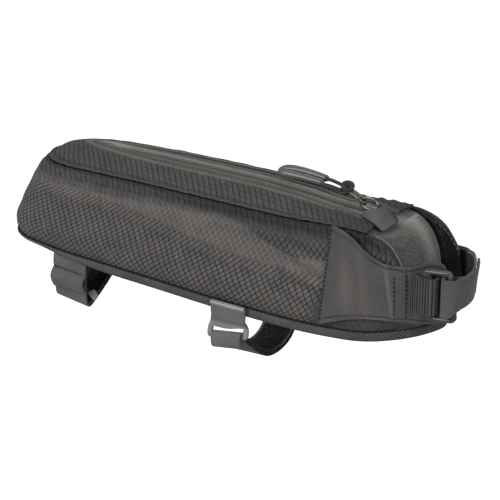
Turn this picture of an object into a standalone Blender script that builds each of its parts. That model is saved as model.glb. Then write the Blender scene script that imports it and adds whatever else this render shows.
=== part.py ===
"""Bicycle frame bag: a slim zipped bag that sits on the top tube behind the steerer.

Metres, +Z up. +X points to the front of the bag, where its strap goes round the steerer, and -Y is the side
with the frame hook. The origin is on the underside of the floor, at the seat point on the top tube.
"""

from collections import namedtuple
from math import atan2, cos, pi, radians, sin

import bmesh
import bpy
from mathutils import Vector

# The bag's main sizes
TAIL_X = -0.175
BODY_LENGTH = 0.304
BAG_WIDTH = 0.0564
SIDE_HEIGHT = 0.0625
CROWN_RISE = 0.0092
TAIL_RAKE = 0.029
SIDE_BULGE = 0.0013
FLOOR_BOW = 0.0080

# Cloth, film and webbing thicknesses, and the clearance between touching pieces
GAP = 0.0003
WALL_THICK = 0.0014
TOP_THICK = 0.0012
PAD_THICK = 0.0028
WING_THICK = 0.0012
HOOD_THICK = 0.0010
FILM_THICK = 0.0010
STRAP_THICK = 0.0013
STRAP_WIDTH = 0.025
FLOOR_THICK = 0.0055
BINDING_THICK = 0.0012
BINDING_SWELL = 0.0008

# Sections of the bag from the tail to the front. along is a share of BODY_LENGTH from the tail's tip, floor and
# seam are half widths as shares of half BAG_WIDTH, height is a share of SIDE_HEIGHT, crown of CROWN_RISE, and
# bow, the rise of the floor, of FLOOR_BOW. dip, as a share of SIDE_HEIGHT, lowers the far edge of the top, and
# sole is the floor's thickness as a share of FLOOR_THICK.
Section = namedtuple("Section", "along floor seam height crown bow dip sole")
SECTIONS = (
    Section(0.000, 0.75, 0.91, 0.945, 0.55, 1.36, 0.000, 0.20),
    Section(0.083, 0.745, 0.92, 0.955, 0.80, 0.98, 0.000, 0.34),
    Section(0.123, 0.745, 0.93, 0.965, 1.00, 0.74, 0.000, 0.44),
    Section(0.182, 0.755, 0.94, 0.980, 1.02, 0.37, 0.000, 0.76),
    Section(0.281, 0.79, 0.95, 0.990, 1.00, 0.16, 0.000, 1.00),
    Section(0.414, 0.84, 0.96, 0.998, 0.99, 0.08, 0.000, 1.00),
    Section(0.546, 0.89, 0.98, 1.000, 0.98, 0.00, 0.000, 1.00),
    Section(0.712, 0.92, 1.00, 1.004, 0.95, 0.02, 0.000, 1.00),
    Section(0.778, 0.93, 1.00, 1.020, 0.68, 0.14, 0.036, 1.00),
    Section(0.844, 0.93, 0.97, 1.028, 0.47, 0.36, 0.020, 1.00),
    Section(0.884, 0.93, 0.94, 1.016, 0.17, 0.57, 0.004, 1.00),
    Section(0.911, 0.93, 0.90, 1.000, 0.04, 0.75, 0.000, 1.00),
    Section(0.960, 0.93, 0.87, 0.960, 0.00, 1.16, 0.000, 1.00),
    Section(1.000, 0.93, 0.86, 0.920, 0.00, 1.58, 0.000, 1.00),
)
FLOOR_TAIL = 0.003
FLOOR_TAIL_NOSE = 0.024
SEAM_TAIL_NOSE = 0.034
FRONT_NOSE = 0.044
FRONT_POINT = 1.75

# Levels of the wall from the floor to the top seam. up is a share of the wall's height, rake of TAIL_RAKE,
# front of BODY_LENGTH from the tail's tip, width the way from the floor's to the seam's half width, bulge of
# SIDE_BULGE.
Level = namedtuple("Level", "up rake front width bulge")
LEVELS = (
    Level(0.00, 0.03, 0.937, 0.00, 0.00),
    Level(0.03, 0.03, 0.943, 0.16, 0.40),
    Level(0.08, 0.03, 0.948, 0.34, 0.70),
    Level(0.22, 0.09, 0.953, 0.66, 1.00),
    Level(0.42, 0.29, 0.960, 0.88, 1.00),
    Level(0.62, 0.48, 0.957, 0.97, 1.00),
    Level(0.80, 0.66, 0.945, 1.00, 0.85),
    Level(0.91, 0.80, 0.930, 1.00, 0.50),
    Level(0.97, 0.92, 0.911, 1.00, 0.15),
    Level(1.00, 1.00, 0.884, 1.00, 0.00),
)

# Rows of the padded front wall from the floor to its tuck under the top panel. up is its edge's level on the
# wall, along and above put its middle, as shares of BODY_LENGTH from the tail's tip and of SIDE_HEIGHT from the
# floor's underside, and knuckle lifts its far half, as a share of SIDE_HEIGHT.
PadRow = namedtuple("PadRow", "up along above knuckle")
PAD_ROWS = (
    PadRow(0.00, 0.960, 0.288, 0.00),
    PadRow(0.12, 0.976, 0.345, 0.00),
    PadRow(0.30, 0.976, 0.480, 0.00),
    PadRow(0.50, 0.972, 0.640, 0.00),
    PadRow(0.68, 0.966, 0.785, 0.01),
    PadRow(0.80, 0.958, 0.890, 0.02),
    PadRow(0.88, 0.949, 0.970, 0.04),
    PadRow(0.93, 0.937, 1.035, 0.06),
    PadRow(0.96, 0.921, 1.075, 0.07),
    PadRow(0.98, 0.904, 1.070, 0.03),
)
PAD_TUCK = 0.0030

# Zip
ZIP_WIDTH = 0.0206
ZIP_START = 0.189
ZIP_TAPER = 0.086
ZIP_POINT = 2.2
ZIP_EDGE_RISE = 0.90
ZIP_SWAY = 0.0045
ZIP_SWAY_START = 0.56
ZIP_SWAY_END = 0.80

SIDE_STEPS = 20
NOSE_STEPS = 6


def at(along):
    """An x on the bag from a share of its length."""
    return TAIL_X + along * BODY_LENGTH


def read_table(rows, column, key):
    """A table's column at a place along its first column, on a smooth curve through the rows."""
    keys = [row[0] for row in rows]
    values = [getattr(row, column) for row in rows]
    key = min(max(key, keys[0]), keys[-1])
    i = max(k for k in range(len(keys) - 1) if keys[k] <= key + 1e-9)
    span = keys[i + 1] - keys[i]
    t = (key - keys[i]) / span

    def slope(k):
        if k == 0 or k == len(keys) - 1:
            j = min(k, len(keys) - 2)
            return (values[j + 1] - values[j]) / (keys[j + 1] - keys[j])
        return (values[k + 1] - values[k - 1]) / (keys[k + 1] - keys[k - 1])

    a, b, m0, m1 = values[i], values[i + 1], slope(i) * span, slope(i + 1) * span
    return (
        a * (2 * t**3 - 3 * t**2 + 1)
        + m0 * (t**3 - 2 * t**2 + t)
        + b * (3 * t**2 - 2 * t**3)
        + m1 * (t**3 - t**2)
    )


def section(column, x):
    return read_table(SECTIONS, column, (x - TAIL_X) / BODY_LENGTH)


def level(column, up):
    return read_table(LEVELS, column, up)


def floor_z(x):
    """The height of the floor's underside, which turns up a little at both ends."""
    return FLOOR_BOW * section("bow", x)


def floor_thick(x):
    return FLOOR_THICK * section("sole", x)


def wall_low_z(x):
    return floor_z(x) + floor_thick(x) + GAP


def seam_z(x):
    return 0.0058 + SIDE_HEIGHT * section("height", x)


def far_dip(x, y):
    """How far the top sags at a place on its far half."""
    return SIDE_HEIGHT * section("dip", x) * min(max(y / seam_half(x), 0.0), 1.0)


def crest_z(x):
    return seam_z(x) + CROWN_RISE * section("crown", x)


def zip_edge_z(x):
    return seam_z(x) + ZIP_EDGE_RISE * CROWN_RISE * section("crown", x)


def seam_half(x):
    return BAG_WIDTH / 2 * section("seam", x)


def floor_half(x):
    """The floor's half width, with its pointed front nose and without its tail's nose."""
    start = at(1.0) - FRONT_NOSE
    share = min(max((x - start) / FRONT_NOSE, 0.0), 1.0)
    return BAG_WIDTH / 2 * section("floor", x) * (1 - share**FRONT_POINT) ** (1 / FRONT_POINT)


def wall_half(x, up):
    return floor_half(x) + (seam_half(x) - floor_half(x)) * level("width", up)


def tail_x(up):
    return TAIL_X + TAIL_RAKE * level("rake", up)


def tail_nose(up):
    return FLOOR_TAIL_NOSE + (SEAM_TAIL_NOSE - FLOOR_TAIL_NOSE) * up


def front_x(up):
    return at(level("front", up))


def stations(start, nose, end, steps=SIDE_STEPS):
    """(x, share of the half width) along one side, from the tip of a round nose to the front."""
    found = []
    for i in range(NOSE_STEPS):
        angle = pi / 2 * i / NOSE_STEPS
        found.append((start + nose * (1 - cos(angle)), sin(angle)))
    for i in range(steps + 1):
        found.append((start + nose + (end - start - nose) * i / steps, 1.0))
    return found


def both_sides(half):
    """A row of points from the near front, round the tail, to the far front."""
    near = [Vector((p.x, -p.y, p.z)) for p in reversed(half)]
    return near + half[1:]


def swollen(half, amount):
    """A half outline, which starts at the tail's tip, pushed outwards by an amount."""
    pushed = []
    for i, p in enumerate(half):
        before, after = half[max(i - 1, 0)], half[min(i + 1, len(half) - 1)]
        along = after - before
        if i == 0:
            along = Vector((0.0, 1.0, 0.0))
        out = Vector((-along.y, along.x, 0.0)).normalized()
        pushed.append(p + out * amount)
    return pushed


def wall_row(up):
    """One level of the wall's outer face."""
    half = []
    for x, share in stations(tail_x(up), tail_nose(up), front_x(up)):
        low, high = wall_low_z(x), seam_z(x) - TOP_THICK - GAP
        half.append(Vector((x, share * wall_half(x, up), low + (high - low) * up)))
    row = both_sides(swollen(half, SIDE_BULGE * level("bulge", up)))
    for p in row:
        p.z -= far_dip(p.x, p.y) * up**3
    return row


def material(name, colour, roughness, metallic=0.0):
    made = bpy.data.materials.get(name)
    if made is None:
        made = bpy.data.materials.new(name)
        made.use_nodes = True
        shader = made.node_tree.nodes["Principled BSDF"]
        shader.inputs["Base Color"].default_value = (*colour, 1.0)
        shader.inputs["Roughness"].default_value = roughness
        shader.inputs["Metallic"].default_value = metallic
    return made


def ripstop():
    return material("diamond_ripstop", (0.058, 0.053, 0.052), 0.62)


def plain_ripstop():
    return material("plain_ripstop", (0.060, 0.055, 0.053), 0.55)


def webbing():
    return material("webbing", (0.045, 0.043, 0.042), 0.75)


def hook_strap():
    return material("hook_and_loop", (0.050, 0.050, 0.048), 0.85)


def film():
    return material("coated_film", (0.062, 0.060, 0.056), 0.38)


def brushed():
    return material("brushed_pad", (0.085, 0.084, 0.080), 0.9)


def moulded():
    return material("moulded_plastic", (0.035, 0.035, 0.036), 0.35)


def grey_plastic():
    return material("grey_plastic", (0.105, 0.106, 0.104), 0.45)


def gunmetal():
    return material("gunmetal", (0.16, 0.155, 0.15), 0.3, 1.0)


def cord_weave():
    return material("cord_weave", (0.055, 0.053, 0.050), 0.8)


def add_object(name, finish, mesh):
    mesh.materials.append(finish)
    mesh.shade_smooth()
    mesh.set_sharp_from_angle(angle=radians(38))
    made = bpy.data.objects.new(name, mesh)
    bpy.context.scene.collection.objects.link(made)
    return made


def grid_mesh(name, rows, ring_rows=False, ring_columns=False, caps=False):
    """A mesh over rows of points. A ring closes back on its start, and caps fill the first and the last ring."""
    count, width = len(rows), len(rows[0])
    faces = []
    for r in range(count if ring_rows else count - 1):
        for c in range(width if ring_columns else width - 1):
            r2, c2 = (r + 1) % count, (c + 1) % width
            faces.append((r * width + c, r * width + c2, r2 * width + c2, r2 * width + c))
    if caps:
        faces.append(tuple(reversed(range(width))))
        faces.append(tuple(range((count - 1) * width, count * width)))
    mesh = bpy.data.meshes.new(name)
    mesh.from_pydata([p for row in rows for p in row], [], faces)
    if caps or ring_rows:
        turn_outward(mesh)
    return mesh


def turn_outward(mesh):
    tidy = bmesh.new()
    tidy.from_mesh(mesh)
    bmesh.ops.recalc_face_normals(tidy, faces=tidy.faces)
    tidy.to_mesh(mesh)
    tidy.free()


def cloth(name, finish, rows, thickness, offset=-1.0):
    """A panel of cloth: a surface with its thickness behind it, or about it if offset is 0."""
    made = add_object(name, finish, grid_mesh(name, rows))
    solid = made.modifiers.new("thickness", "SOLIDIFY")
    solid.thickness = thickness
    solid.offset = offset
    solid.use_even_offset = True
    return made


def smooth_path(points, steps):
    """Points spread evenly along a smooth curve through the points given."""
    points = [Vector(p) for p in points]
    ends = [points[0] * 2 - points[1], *points, points[-1] * 2 - points[-2]]
    fine = []
    for i in range(1, len(ends) - 2):
        a, b, c, d = ends[i - 1 : i + 3]
        for k in range(16):
            t = k / 16
            bend = 2 * a - 5 * b + 4 * c - d
            turn = 3 * b - a - 3 * c + d
            fine.append(0.5 * (2 * b + (c - a) * t + bend * t**2 + turn * t**3))
    fine.append(points[-1])
    travelled = [0.0]
    for p, q in zip(fine, fine[1:]):
        travelled.append(travelled[-1] + (q - p).length)
    even, k = [], 0
    for i in range(steps + 1):
        target = travelled[-1] * i / steps
        while k < len(fine) - 2 and travelled[k + 1] < target:
            k += 1
        span = travelled[k + 1] - travelled[k]
        even.append(fine[k].lerp(fine[k + 1], (target - travelled[k]) / span if span else 0.0))
    return even


def arc(centre, radius, start, end, steps):
    """Points (a, b) round a centre between two angles in degrees."""
    found = []
    for k in range(steps + 1):
        angle = radians(start + (end - start) * k / steps)
        found.append((centre[0] + radius * cos(angle), centre[1] + radius * sin(angle)))
    return found


def ribbon(name, finish, path, across, thickness=STRAP_THICK, leans=None):
    """A strap: its centre line swept with a width across it. leans tilt the width upwards, point by point."""
    across = Vector(across)
    rows = []
    for i, p in enumerate(path):
        half = across / 2
        if leans:
            half = half + Vector((0, 0, half.x * leans[i]))
        rows.append([p - half, p + half])
    return cloth(name, finish, rows, thickness, 0.0)


def tube(name, finish, path, radii):
    """A round bar along a path, with a radius for each point."""
    rings = []
    for i, p in enumerate(path):
        along = (path[min(i + 1, len(path) - 1)] - path[max(i - 1, 0)]).normalized()
        side = along.cross(Vector((0, 1, 0))).normalized()
        up = side.cross(along)
        ring = []
        for k in range(12):
            angle = 2 * pi * k / 12
            ring.append(p + (side * cos(angle) + up * sin(angle)) * radii[i])
        rings.append(ring)
    return add_object(name, finish, grid_mesh(name, rings, ring_columns=True, caps=True))


def body_wall():
    cloth("body_wall", ripstop(), [list(reversed(wall_row(row.up))) for row in LEVELS], WALL_THICK)


def zip_half_width(x):
    """The half width of the zip's slot, which tapers to a point at the tail."""
    share = min(max((x - at(ZIP_START)) / ZIP_TAPER, 0.0), 1.0)
    return ZIP_WIDTH / 2 * (1 - (1 - share) ** ZIP_POINT)


def zip_mid_y(x):
    """The zip's middle, which drifts to the near side towards the front."""
    share = (x - at(ZIP_SWAY_START)) / (at(ZIP_SWAY_END) - at(ZIP_SWAY_START))
    share = min(max(share, 0.0), 1.0)
    return -ZIP_SWAY * share * share * (3 - 2 * share)


def top_z(x, y):
    """The height of the bag's top."""
    inner, outer, mid = max(zip_half_width(x), 0.0005), seam_half(x), zip_mid_y(x)
    if abs(y - mid) <= inner:
        rise = (crest_z(x) - zip_edge_z(x)) * (1 - ((y - mid) / inner) ** 2)
        return zip_edge_z(x) + rise - far_dip(x, y)
    edge = inner + mid if y > mid else inner - mid
    share = max((outer - abs(y)) / (outer - edge), 0.0)
    return seam_z(x) + (zip_edge_z(x) - seam_z(x)) * sin(share * pi / 2) ** 0.9 - far_dip(x, y)


TOP_SHARES = (0.0, 0.10, 0.28, 0.55, 0.80, 1.0)


def top_panel():
    """The crowned top, from the seam up to the edge of the zip, in one piece round the tail."""
    end = front_x(1.0)
    outline = stations(tail_x(1.0), SEAM_TAIL_NOSE, end)
    steps = len(outline) - 1
    rows = []
    for share in TOP_SHARES:
        rise = sin(share * pi / 2) ** 0.9
        near, far = [], []
        for i, (low_x, width) in enumerate(outline):
            high_x = at(ZIP_START) + (end - at(ZIP_START)) * (i / steps) ** 1.25
            low_y = width * seam_half(low_x)
            x = low_x + (high_x - low_x) * share
            z = seam_z(low_x) + (zip_edge_z(high_x) - seam_z(low_x)) * rise
            near_y = zip_mid_y(high_x) - zip_half_width(high_x)
            far_y = zip_mid_y(high_x) + zip_half_width(high_x)
            near.append(Vector((x, -low_y + (near_y + low_y) * share, z)))
            y = low_y + (far_y - low_y) * share
            far.append(Vector((x, y, z - far_dip(x, y))))
        rows.append(list(reversed(far[1:])) + near)
    cloth("top_panel", ripstop(), rows, TOP_THICK)


def zip_tape(name, side):
    """One half of the zip's coated film, from the middle to the edge of the slot."""
    start, end = at(ZIP_START) + 0.0075, front_x(1.0)
    rows = []
    for share in (0.0, 0.14, 0.5, 1.0):
        row = []
        for i in range(SIDE_STEPS + 3):
            x = start + (end - start) * (i / (SIDE_STEPS + 2)) ** 1.25
            outer = zip_half_width(x) - GAP * 2.1
            y = GAP / 2 + (outer - GAP / 2) * share
            z = zip_edge_z(x) + (crest_z(x) - zip_edge_z(x)) * (1 - share**2)
            y = zip_mid_y(x) + side * y
            row.append(Vector((x, y, z - far_dip(x, y))))
        rows.append(row if side > 0 else list(reversed(row)))
    cloth(name, film(), rows, FILM_THICK)


def floor_outline(outward=0.0):
    """The floor's outline as a closed loop, from the front tip by the near side to the tail and back."""
    tip = at(1.0)
    nose_start = tip - FRONT_NOSE
    half = []
    for x, share in stations(at(FLOOR_TAIL), FLOOR_TAIL_NOSE, nose_start, 12):
        half.append(Vector((x, share * floor_half(x), floor_z(x))))
    for i in range(1, 11):
        x = nose_start + FRONT_NOSE * sin(pi / 2 * i / 10)
        half.append(Vector((x, floor_half(x), floor_z(x))))
    half[-1].y = 0.0
    grown = swollen(half, outward)
    grown[-1] = half[-1] + Vector((outward, 0.0, 0.0))
    near = [Vector((p.x, -p.y, p.z)) for p in reversed(grown)]
    return near + grown[1:-1]


def base_plate():
    """The stiffened floor, bowed with the bag."""
    low = floor_outline(-BINDING_THICK)
    count = len(low)
    half = count // 2
    points = low + [p + Vector((0, 0, floor_thick(p.x))) for p in low]
    faces = []
    for i in range(count):
        j = (i + 1) % count
        faces.append((i, i + count, j + count, j))
    # Each strip of the floor joins two neighbours on the near side to the two that face them.
    for i in range(half):
        a, b, c, d = i, i + 1, (count - i - 1) % count, (count - i) % count
        strip = [a, b, c, d]
        if i == 0:
            strip = [a, b, c]
        elif i == half - 1:
            strip = [a, b, d]
        faces.append(tuple(strip))
        faces.append(tuple(k + count for k in reversed(strip)))
    mesh = bpy.data.meshes.new("base_plate")
    mesh.from_pydata(points, [], faces)
    turn_outward(mesh)
    add_object("base_plate", webbing(), mesh)


# The binding's profile. thick is a share of BINDING_THICK outwards, swell of BINDING_SWELL, up of FLOOR_THICK.
Lip = namedtuple("Lip", "thick swell up")
BINDING = (
    Lip(0.0, 0.0, 0.00),
    Lip(1.0, 0.1, 0.03),
    Lip(1.0, 0.8, 0.28),
    Lip(1.0, 1.0, 0.55),
    Lip(1.0, 0.7, 0.82),
    Lip(0.7, 0.0, 0.98),
    Lip(0.0, 0.0, 0.98),
)


def base_binding():
    """The tape round the floor's edge, a little swollen."""
    rings = []
    for lip in BINDING:
        outward = GAP - BINDING_THICK + lip.thick * BINDING_THICK + lip.swell * BINDING_SWELL
        ring = []
        for p in floor_outline(outward):
            thick = floor_thick(p.x)
            ring.append(p + Vector((0, 0, min(lip.up * thick, thick - GAP))))
        rings.append(ring)
    add_object("base_binding", webbing(), grid_mesh("base_binding", rings, ring_rows=True, ring_columns=True))


def front_pad():
    """The padded front wall, which bulges forward between the two sides and tucks under the top panel."""
    across = 14
    rows = []
    for row in PAD_ROWS:
        x = front_x(row.up) - PAD_TUCK
        low, high = wall_low_z(x), seam_z(x) - TOP_THICK - GAP
        z = low + (high - low) * row.up
        inset = WALL_THICK + GAP + 0.0004 + 0.0013 * (1 - row.up) ** 6
        y = wall_half(x, row.up) + SIDE_BULGE * level("bulge", row.up) - inset
        middle = Vector((at(row.along), 0.0, SIDE_HEIGHT * row.above))
        points = []
        for i in range(across + 1):
            angle = pi * (i / across - 0.5)
            lead = cos(angle)
            lift = SIDE_HEIGHT * row.knuckle * max(sin(angle + 0.3), 0.0) * lead * 1.6
            ahead = (middle.x - x) * lead**0.8
            low = far_dip(x, y * sin(angle)) * row.up**3
            points.append(Vector((x + ahead, y * sin(angle), z + (middle.z - z) * lead**1.1 + lift - low)))
        rows.append(points)
    # The last row runs under the top panel's front edge.
    x = front_x(1.0) - PAD_TUCK
    y = seam_half(x) - WALL_THICK - TOP_THICK - 2 * GAP
    tuck = []
    for i in range(across + 1):
        angle = pi * (i / across - 0.5)
        tuck.append(Vector((x, y * sin(angle), top_z(x, y * sin(angle)) - TOP_THICK - 3 * GAP)))
    rows.append(tuck)
    cloth("front_pad", brushed(), rows, PAD_THICK)


# Rows of each wing from its rear seam to its tip. low_x and high_x are metres ahead of the bag's front end, low
# and high its edges' heights, out its outer face's distance from the middle as a share of half the bag's width.
WingRow = namedtuple("WingRow", "low_x high_x low high out")
WING_NEAR = (
    WingRow(-0.0630, -0.0550, 0.0100, 0.0712, 1.0887),
    WingRow(-0.0510, -0.0460, 0.0150, 0.0692, 1.0887),
    WingRow(-0.0410, -0.0380, 0.0185, 0.0640, 1.0851),
    WingRow(-0.0310, -0.0310, 0.0210, 0.0585, 1.0780),
    WingRow(-0.0220, -0.0230, 0.0225, 0.0560, 1.0603),
    WingRow(-0.0140, -0.0150, 0.0235, 0.0555, 1.0355),
    WingRow(-0.0070, -0.0080, 0.0245, 0.0560, 1.0035),
    WingRow(0.0000, -0.0010, 0.0250, 0.0590, 0.9645),
    WingRow(0.0070, 0.0060, 0.0262, 0.0618, 0.9291),
    WingRow(0.0125, 0.0120, 0.0290, 0.0610, 0.9078),
    WingRow(0.0140, 0.0140, 0.0330, 0.0570, 0.9007),
)
WING_FAR = (
    WingRow(-0.0630, -0.0550, 0.0100, 0.0660, 1.0887),
    WingRow(-0.0490, -0.0450, 0.0150, 0.0662, 1.0887),
    WingRow(-0.0360, -0.0340, 0.0190, 0.0668, 1.0816),
    WingRow(-0.0240, -0.0240, 0.0220, 0.0648, 1.0638),
    WingRow(-0.0140, -0.0160, 0.0250, 0.0608, 1.0319),
    WingRow(-0.0070, -0.0100, 0.0280, 0.0550, 0.9858),
    WingRow(-0.0020, -0.0050, 0.0320, 0.0490, 0.9362),
)


def wing(name, table, side):
    """A side wing: cloth from its seam on the bag's side to a tip ahead of the front wall."""
    rows = []
    for row in table:
        points = []
        for k in range(7):
            share = k / 6
            x = at(1.0) + row.low_x + (row.high_x - row.low_x) * share
            z = row.low + (row.high - row.low) * share
            points.append(Vector((x, side * row.out * BAG_WIDTH / 2, z)))
        rows.append(points if side > 0 else list(reversed(points)))
    cloth(name, plain_ripstop(), rows, WING_THICK)


# Buckle, ahead of the bag's front end and outside its near side
BUCKLE_AHEAD = 0.0122
BUCKLE_STAND = 0.0018
BUCKLE_X = at(1.0) + BUCKLE_AHEAD
BUCKLE_Y = -BAG_WIDTH / 2 - BUCKLE_STAND
BUCKLE_Z = 0.0452
BUCKLE_LENGTH = 0.0186
BUCKLE_HEIGHT = 0.0292
BUCKLE_THICK = 0.0030
BUCKLE_REAR_BAR = 0.0058
BUCKLE_FRONT_BAR = 0.0028
BUCKLE_RAIL = 0.0026
BUCKLE_CORNER = 0.0036


def rounded_box(name, finish, centre, size, bevel, segments=3):
    """A box with its edges rounded off."""
    mesh = bpy.data.meshes.new(name)
    box = bmesh.new()
    bmesh.ops.create_cube(box, size=1.0)
    for vert in box.verts:
        vert.co = Vector([c + v * s for c, v, s in zip(centre, vert.co, size)])
    box.to_mesh(mesh)
    box.free()
    made = add_object(name, finish, mesh)
    round_off = made.modifiers.new("round", "BEVEL")
    round_off.width = bevel
    round_off.segments = segments
    round_off.limit_method = "ANGLE"
    return made


def cut_from(target, cutter):
    cutter.hide_render = True
    cutter.display_type = "WIRE"
    cut = target.modifiers.new("cut", "BOOLEAN")
    cut.operation = "DIFFERENCE"
    cut.solver = "EXACT"
    cut.object = cutter


def plate_outline(x0, x1, z0, z1, radius, steps=5):
    """A rectangle's outline in x and z, with rounded corners."""
    found = []
    corners = ((x1, z1, -1, -1, 0), (x0, z1, 1, -1, 90), (x0, z0, 1, 1, 180), (x1, z0, -1, 1, 270))
    for x, z, inward, upward, start in corners:
        found += arc((x + inward * radius, z + upward * radius), radius, start, start + 90, steps)
    return found


def strap_buckle():
    """A rectangular moulded frame: the webbing loop holds its rear bar and the strap turns round its front bar."""
    x0, x1 = BUCKLE_X - BUCKLE_LENGTH / 2, BUCKLE_X + BUCKLE_LENGTH / 2
    z0, z1 = BUCKLE_Z - BUCKLE_HEIGHT / 2, BUCKLE_Z + BUCKLE_HEIGHT / 2
    outside = plate_outline(x0, x1, z0, z1, BUCKLE_CORNER)
    half = BUCKLE_THICK / 2
    rings = [[Vector((x, BUCKLE_Y + y, z)) for x, z in outside] for y in (-half, half)]
    made = add_object("strap_buckle", moulded(), grid_mesh("strap_buckle", rings, ring_columns=True, caps=True))
    rim = made.modifiers.new("round", "BEVEL")
    rim.width = 0.0009
    rim.segments = 3
    rim.limit_method = "ANGLE"
    rim.angle_limit = radians(50)
    hole = plate_outline(
        x0 + BUCKLE_REAR_BAR, x1 - BUCKLE_FRONT_BAR, z0 + BUCKLE_RAIL, z1 - BUCKLE_RAIL, 0.0006, 3
    )
    rings = [[Vector((x, BUCKLE_Y + y, z)) for x, z in hole] for y in (-4 * half, 4 * half)]
    slot = add_object("buckle_slot", moulded(), grid_mesh("buckle_slot", rings, ring_columns=True, caps=True))
    cut_from(made, slot)


def wing_webbing():
    """The ribbed webbing loop sewn to the near wing, folded round the buckle's rear bar."""
    edge = BUCKLE_X - BUCKLE_LENGTH / 2 + BUCKLE_REAR_BAR
    reach = BUCKLE_THICK / 2 + STRAP_THICK / 2 + 2 * GAP
    outside = [(-0.0172, -0.0002), (-0.0142, -0.0014), (-0.0102, -reach)]
    outside = [(BUCKLE_X + x, BUCKLE_Y + y) for x, y in outside]
    turn = arc((edge - 0.0010, BUCKLE_Y), reach, -90, 90, 8)
    inside = [(edge - 0.0024, BUCKLE_Y + reach)]
    path = [Vector((x, y, 0.0444)) for x, y in outside + turn + inside]
    path = smooth_path(path[:4], 6) + path[4:]
    ribbon("wing_webbing", webbing(), path, (0, 0, 0.0208))


# The steerer strap's way from the far wing round the front to the buckle, and back over itself. Each point is
# metres ahead of the bag's front end, a share of half its width, and a height.
STRAP_WAY = (
    (-0.0170, 1.1064, 0.0385),
    (-0.0095, 1.0709, 0.0386),
    (-0.0022, 1.0035, 0.0392),
    (0.0024, 0.7872, 0.0414),
    (0.0058, 0.5248, 0.0442),
    (0.0105, 0.2837, 0.0472),
    (0.0160, 0.0177, 0.0495),
    (0.0205, -0.2660, 0.0507),
    (0.0242, -0.5319, 0.0510),
    (0.0267, -0.7447, 0.0506),
    (0.0270, -0.8794, 0.0495),
    (0.0242, -0.9610, 0.0472),
)
STRAP_FOLD = (
    (0.0240, -1.1525, 0.0470),
    (0.0285, -1.0638, 0.0492),
    (0.0302, -0.9149, 0.0508),
    (0.0292, -0.7092, 0.0515),
    (0.0266, -0.4787, 0.0517),
    (0.0234, -0.2553, 0.0515),
)
STEERER_STRAP_WIDTH = 0.0224
STRAP_TURN_Z = 0.0450
# The strap's lower edge curls in and up ahead of the buckle, fully from CURL_START + CURL_RUN on.
STRAP_CURL = (-0.0028, 0.0010, 0.0030)
CURL_START = BUCKLE_X + 0.0068
CURL_RUN = 0.0080


def round_front(table):
    return [(at(1.0) + ahead, share * BAG_WIDTH / 2, z) for ahead, share, z in table]


def steerer_strap():
    """The strap round the steerer: sewn to the far wing, through the buckle, and folded back on itself."""
    bar_x = BUCKLE_X + BUCKLE_LENGTH / 2 - BUCKLE_FRONT_BAR / 2
    reach = BUCKLE_THICK / 2 + STRAP_THICK / 2 + 2 * GAP
    turn = [(x, y, STRAP_TURN_Z) for x, y in arc((bar_x, BUCKLE_Y), reach, 90, 270, 8)]
    way = smooth_path([*round_front(STRAP_WAY), turn[0]], 46)
    fold = smooth_path([turn[-1], *round_front(STRAP_FOLD)], 16)
    rows = []
    for p in way + [Vector(q) for q in turn[1:-1]] + fold:
        share = min(max((p.x - CURL_START) / CURL_RUN, 0.0), 1.0)
        half = Vector((0, 0, STEERER_STRAP_WIDTH / 2))
        rows.append([p - half + Vector(STRAP_CURL) * share, p + half])
    cloth("steerer_strap", hook_strap(), rows, STRAP_THICK, 0.0)


# Cross sections of the two straps under the bag, as (y, z) from the far side to the near side
TAIL_STRAP_X = -0.1230
FLAP_SHIFT = 0.0018
# The end tab's upper and lower edges, as shares of half the bag's width
TAB_TOP = -0.6028
TAB_LOW = -0.5319
TAIL_FOLD_LEAN = -0.12
# Each point of these ways is a share of half the bag's width and a height.
TAIL_STRAP_WAY = (
    (0.3191, 0.0000),
    (0.5319, 0.0000),
    (0.6383, -0.0035),
    (0.4965, -0.0090),
    (0.1773, -0.0150),
    (-0.2128, -0.0215),
    (-0.4610, -0.0255),
    (-0.5957, -0.0262),
    (-0.6596, -0.0232),
    (-0.6738, -0.0160),
    (-0.6667, -0.0090),
    (-0.6312, -0.0030),
    (-0.4965, 0.0000),
    (-0.3191, 0.0000),
)
TAIL_FLAP_WAY = (
    (-0.7376, 0.0000),
    (-0.7837, -0.0040),
    (-0.8617, -0.0090),
    (-0.8440, -0.0138),
    (-0.7660, -0.0172),
)


def shares_across(way):
    """A way whose first column turns from shares of half the bag's width into metres."""
    return [(share * BAG_WIDTH / 2, height) for share, height in way]


def across_bag(x, way, z):
    """A strap's cross section as points, with its ends under the floor at a height z."""
    return [(x, y, height if height else z) for y, height in way]


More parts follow.
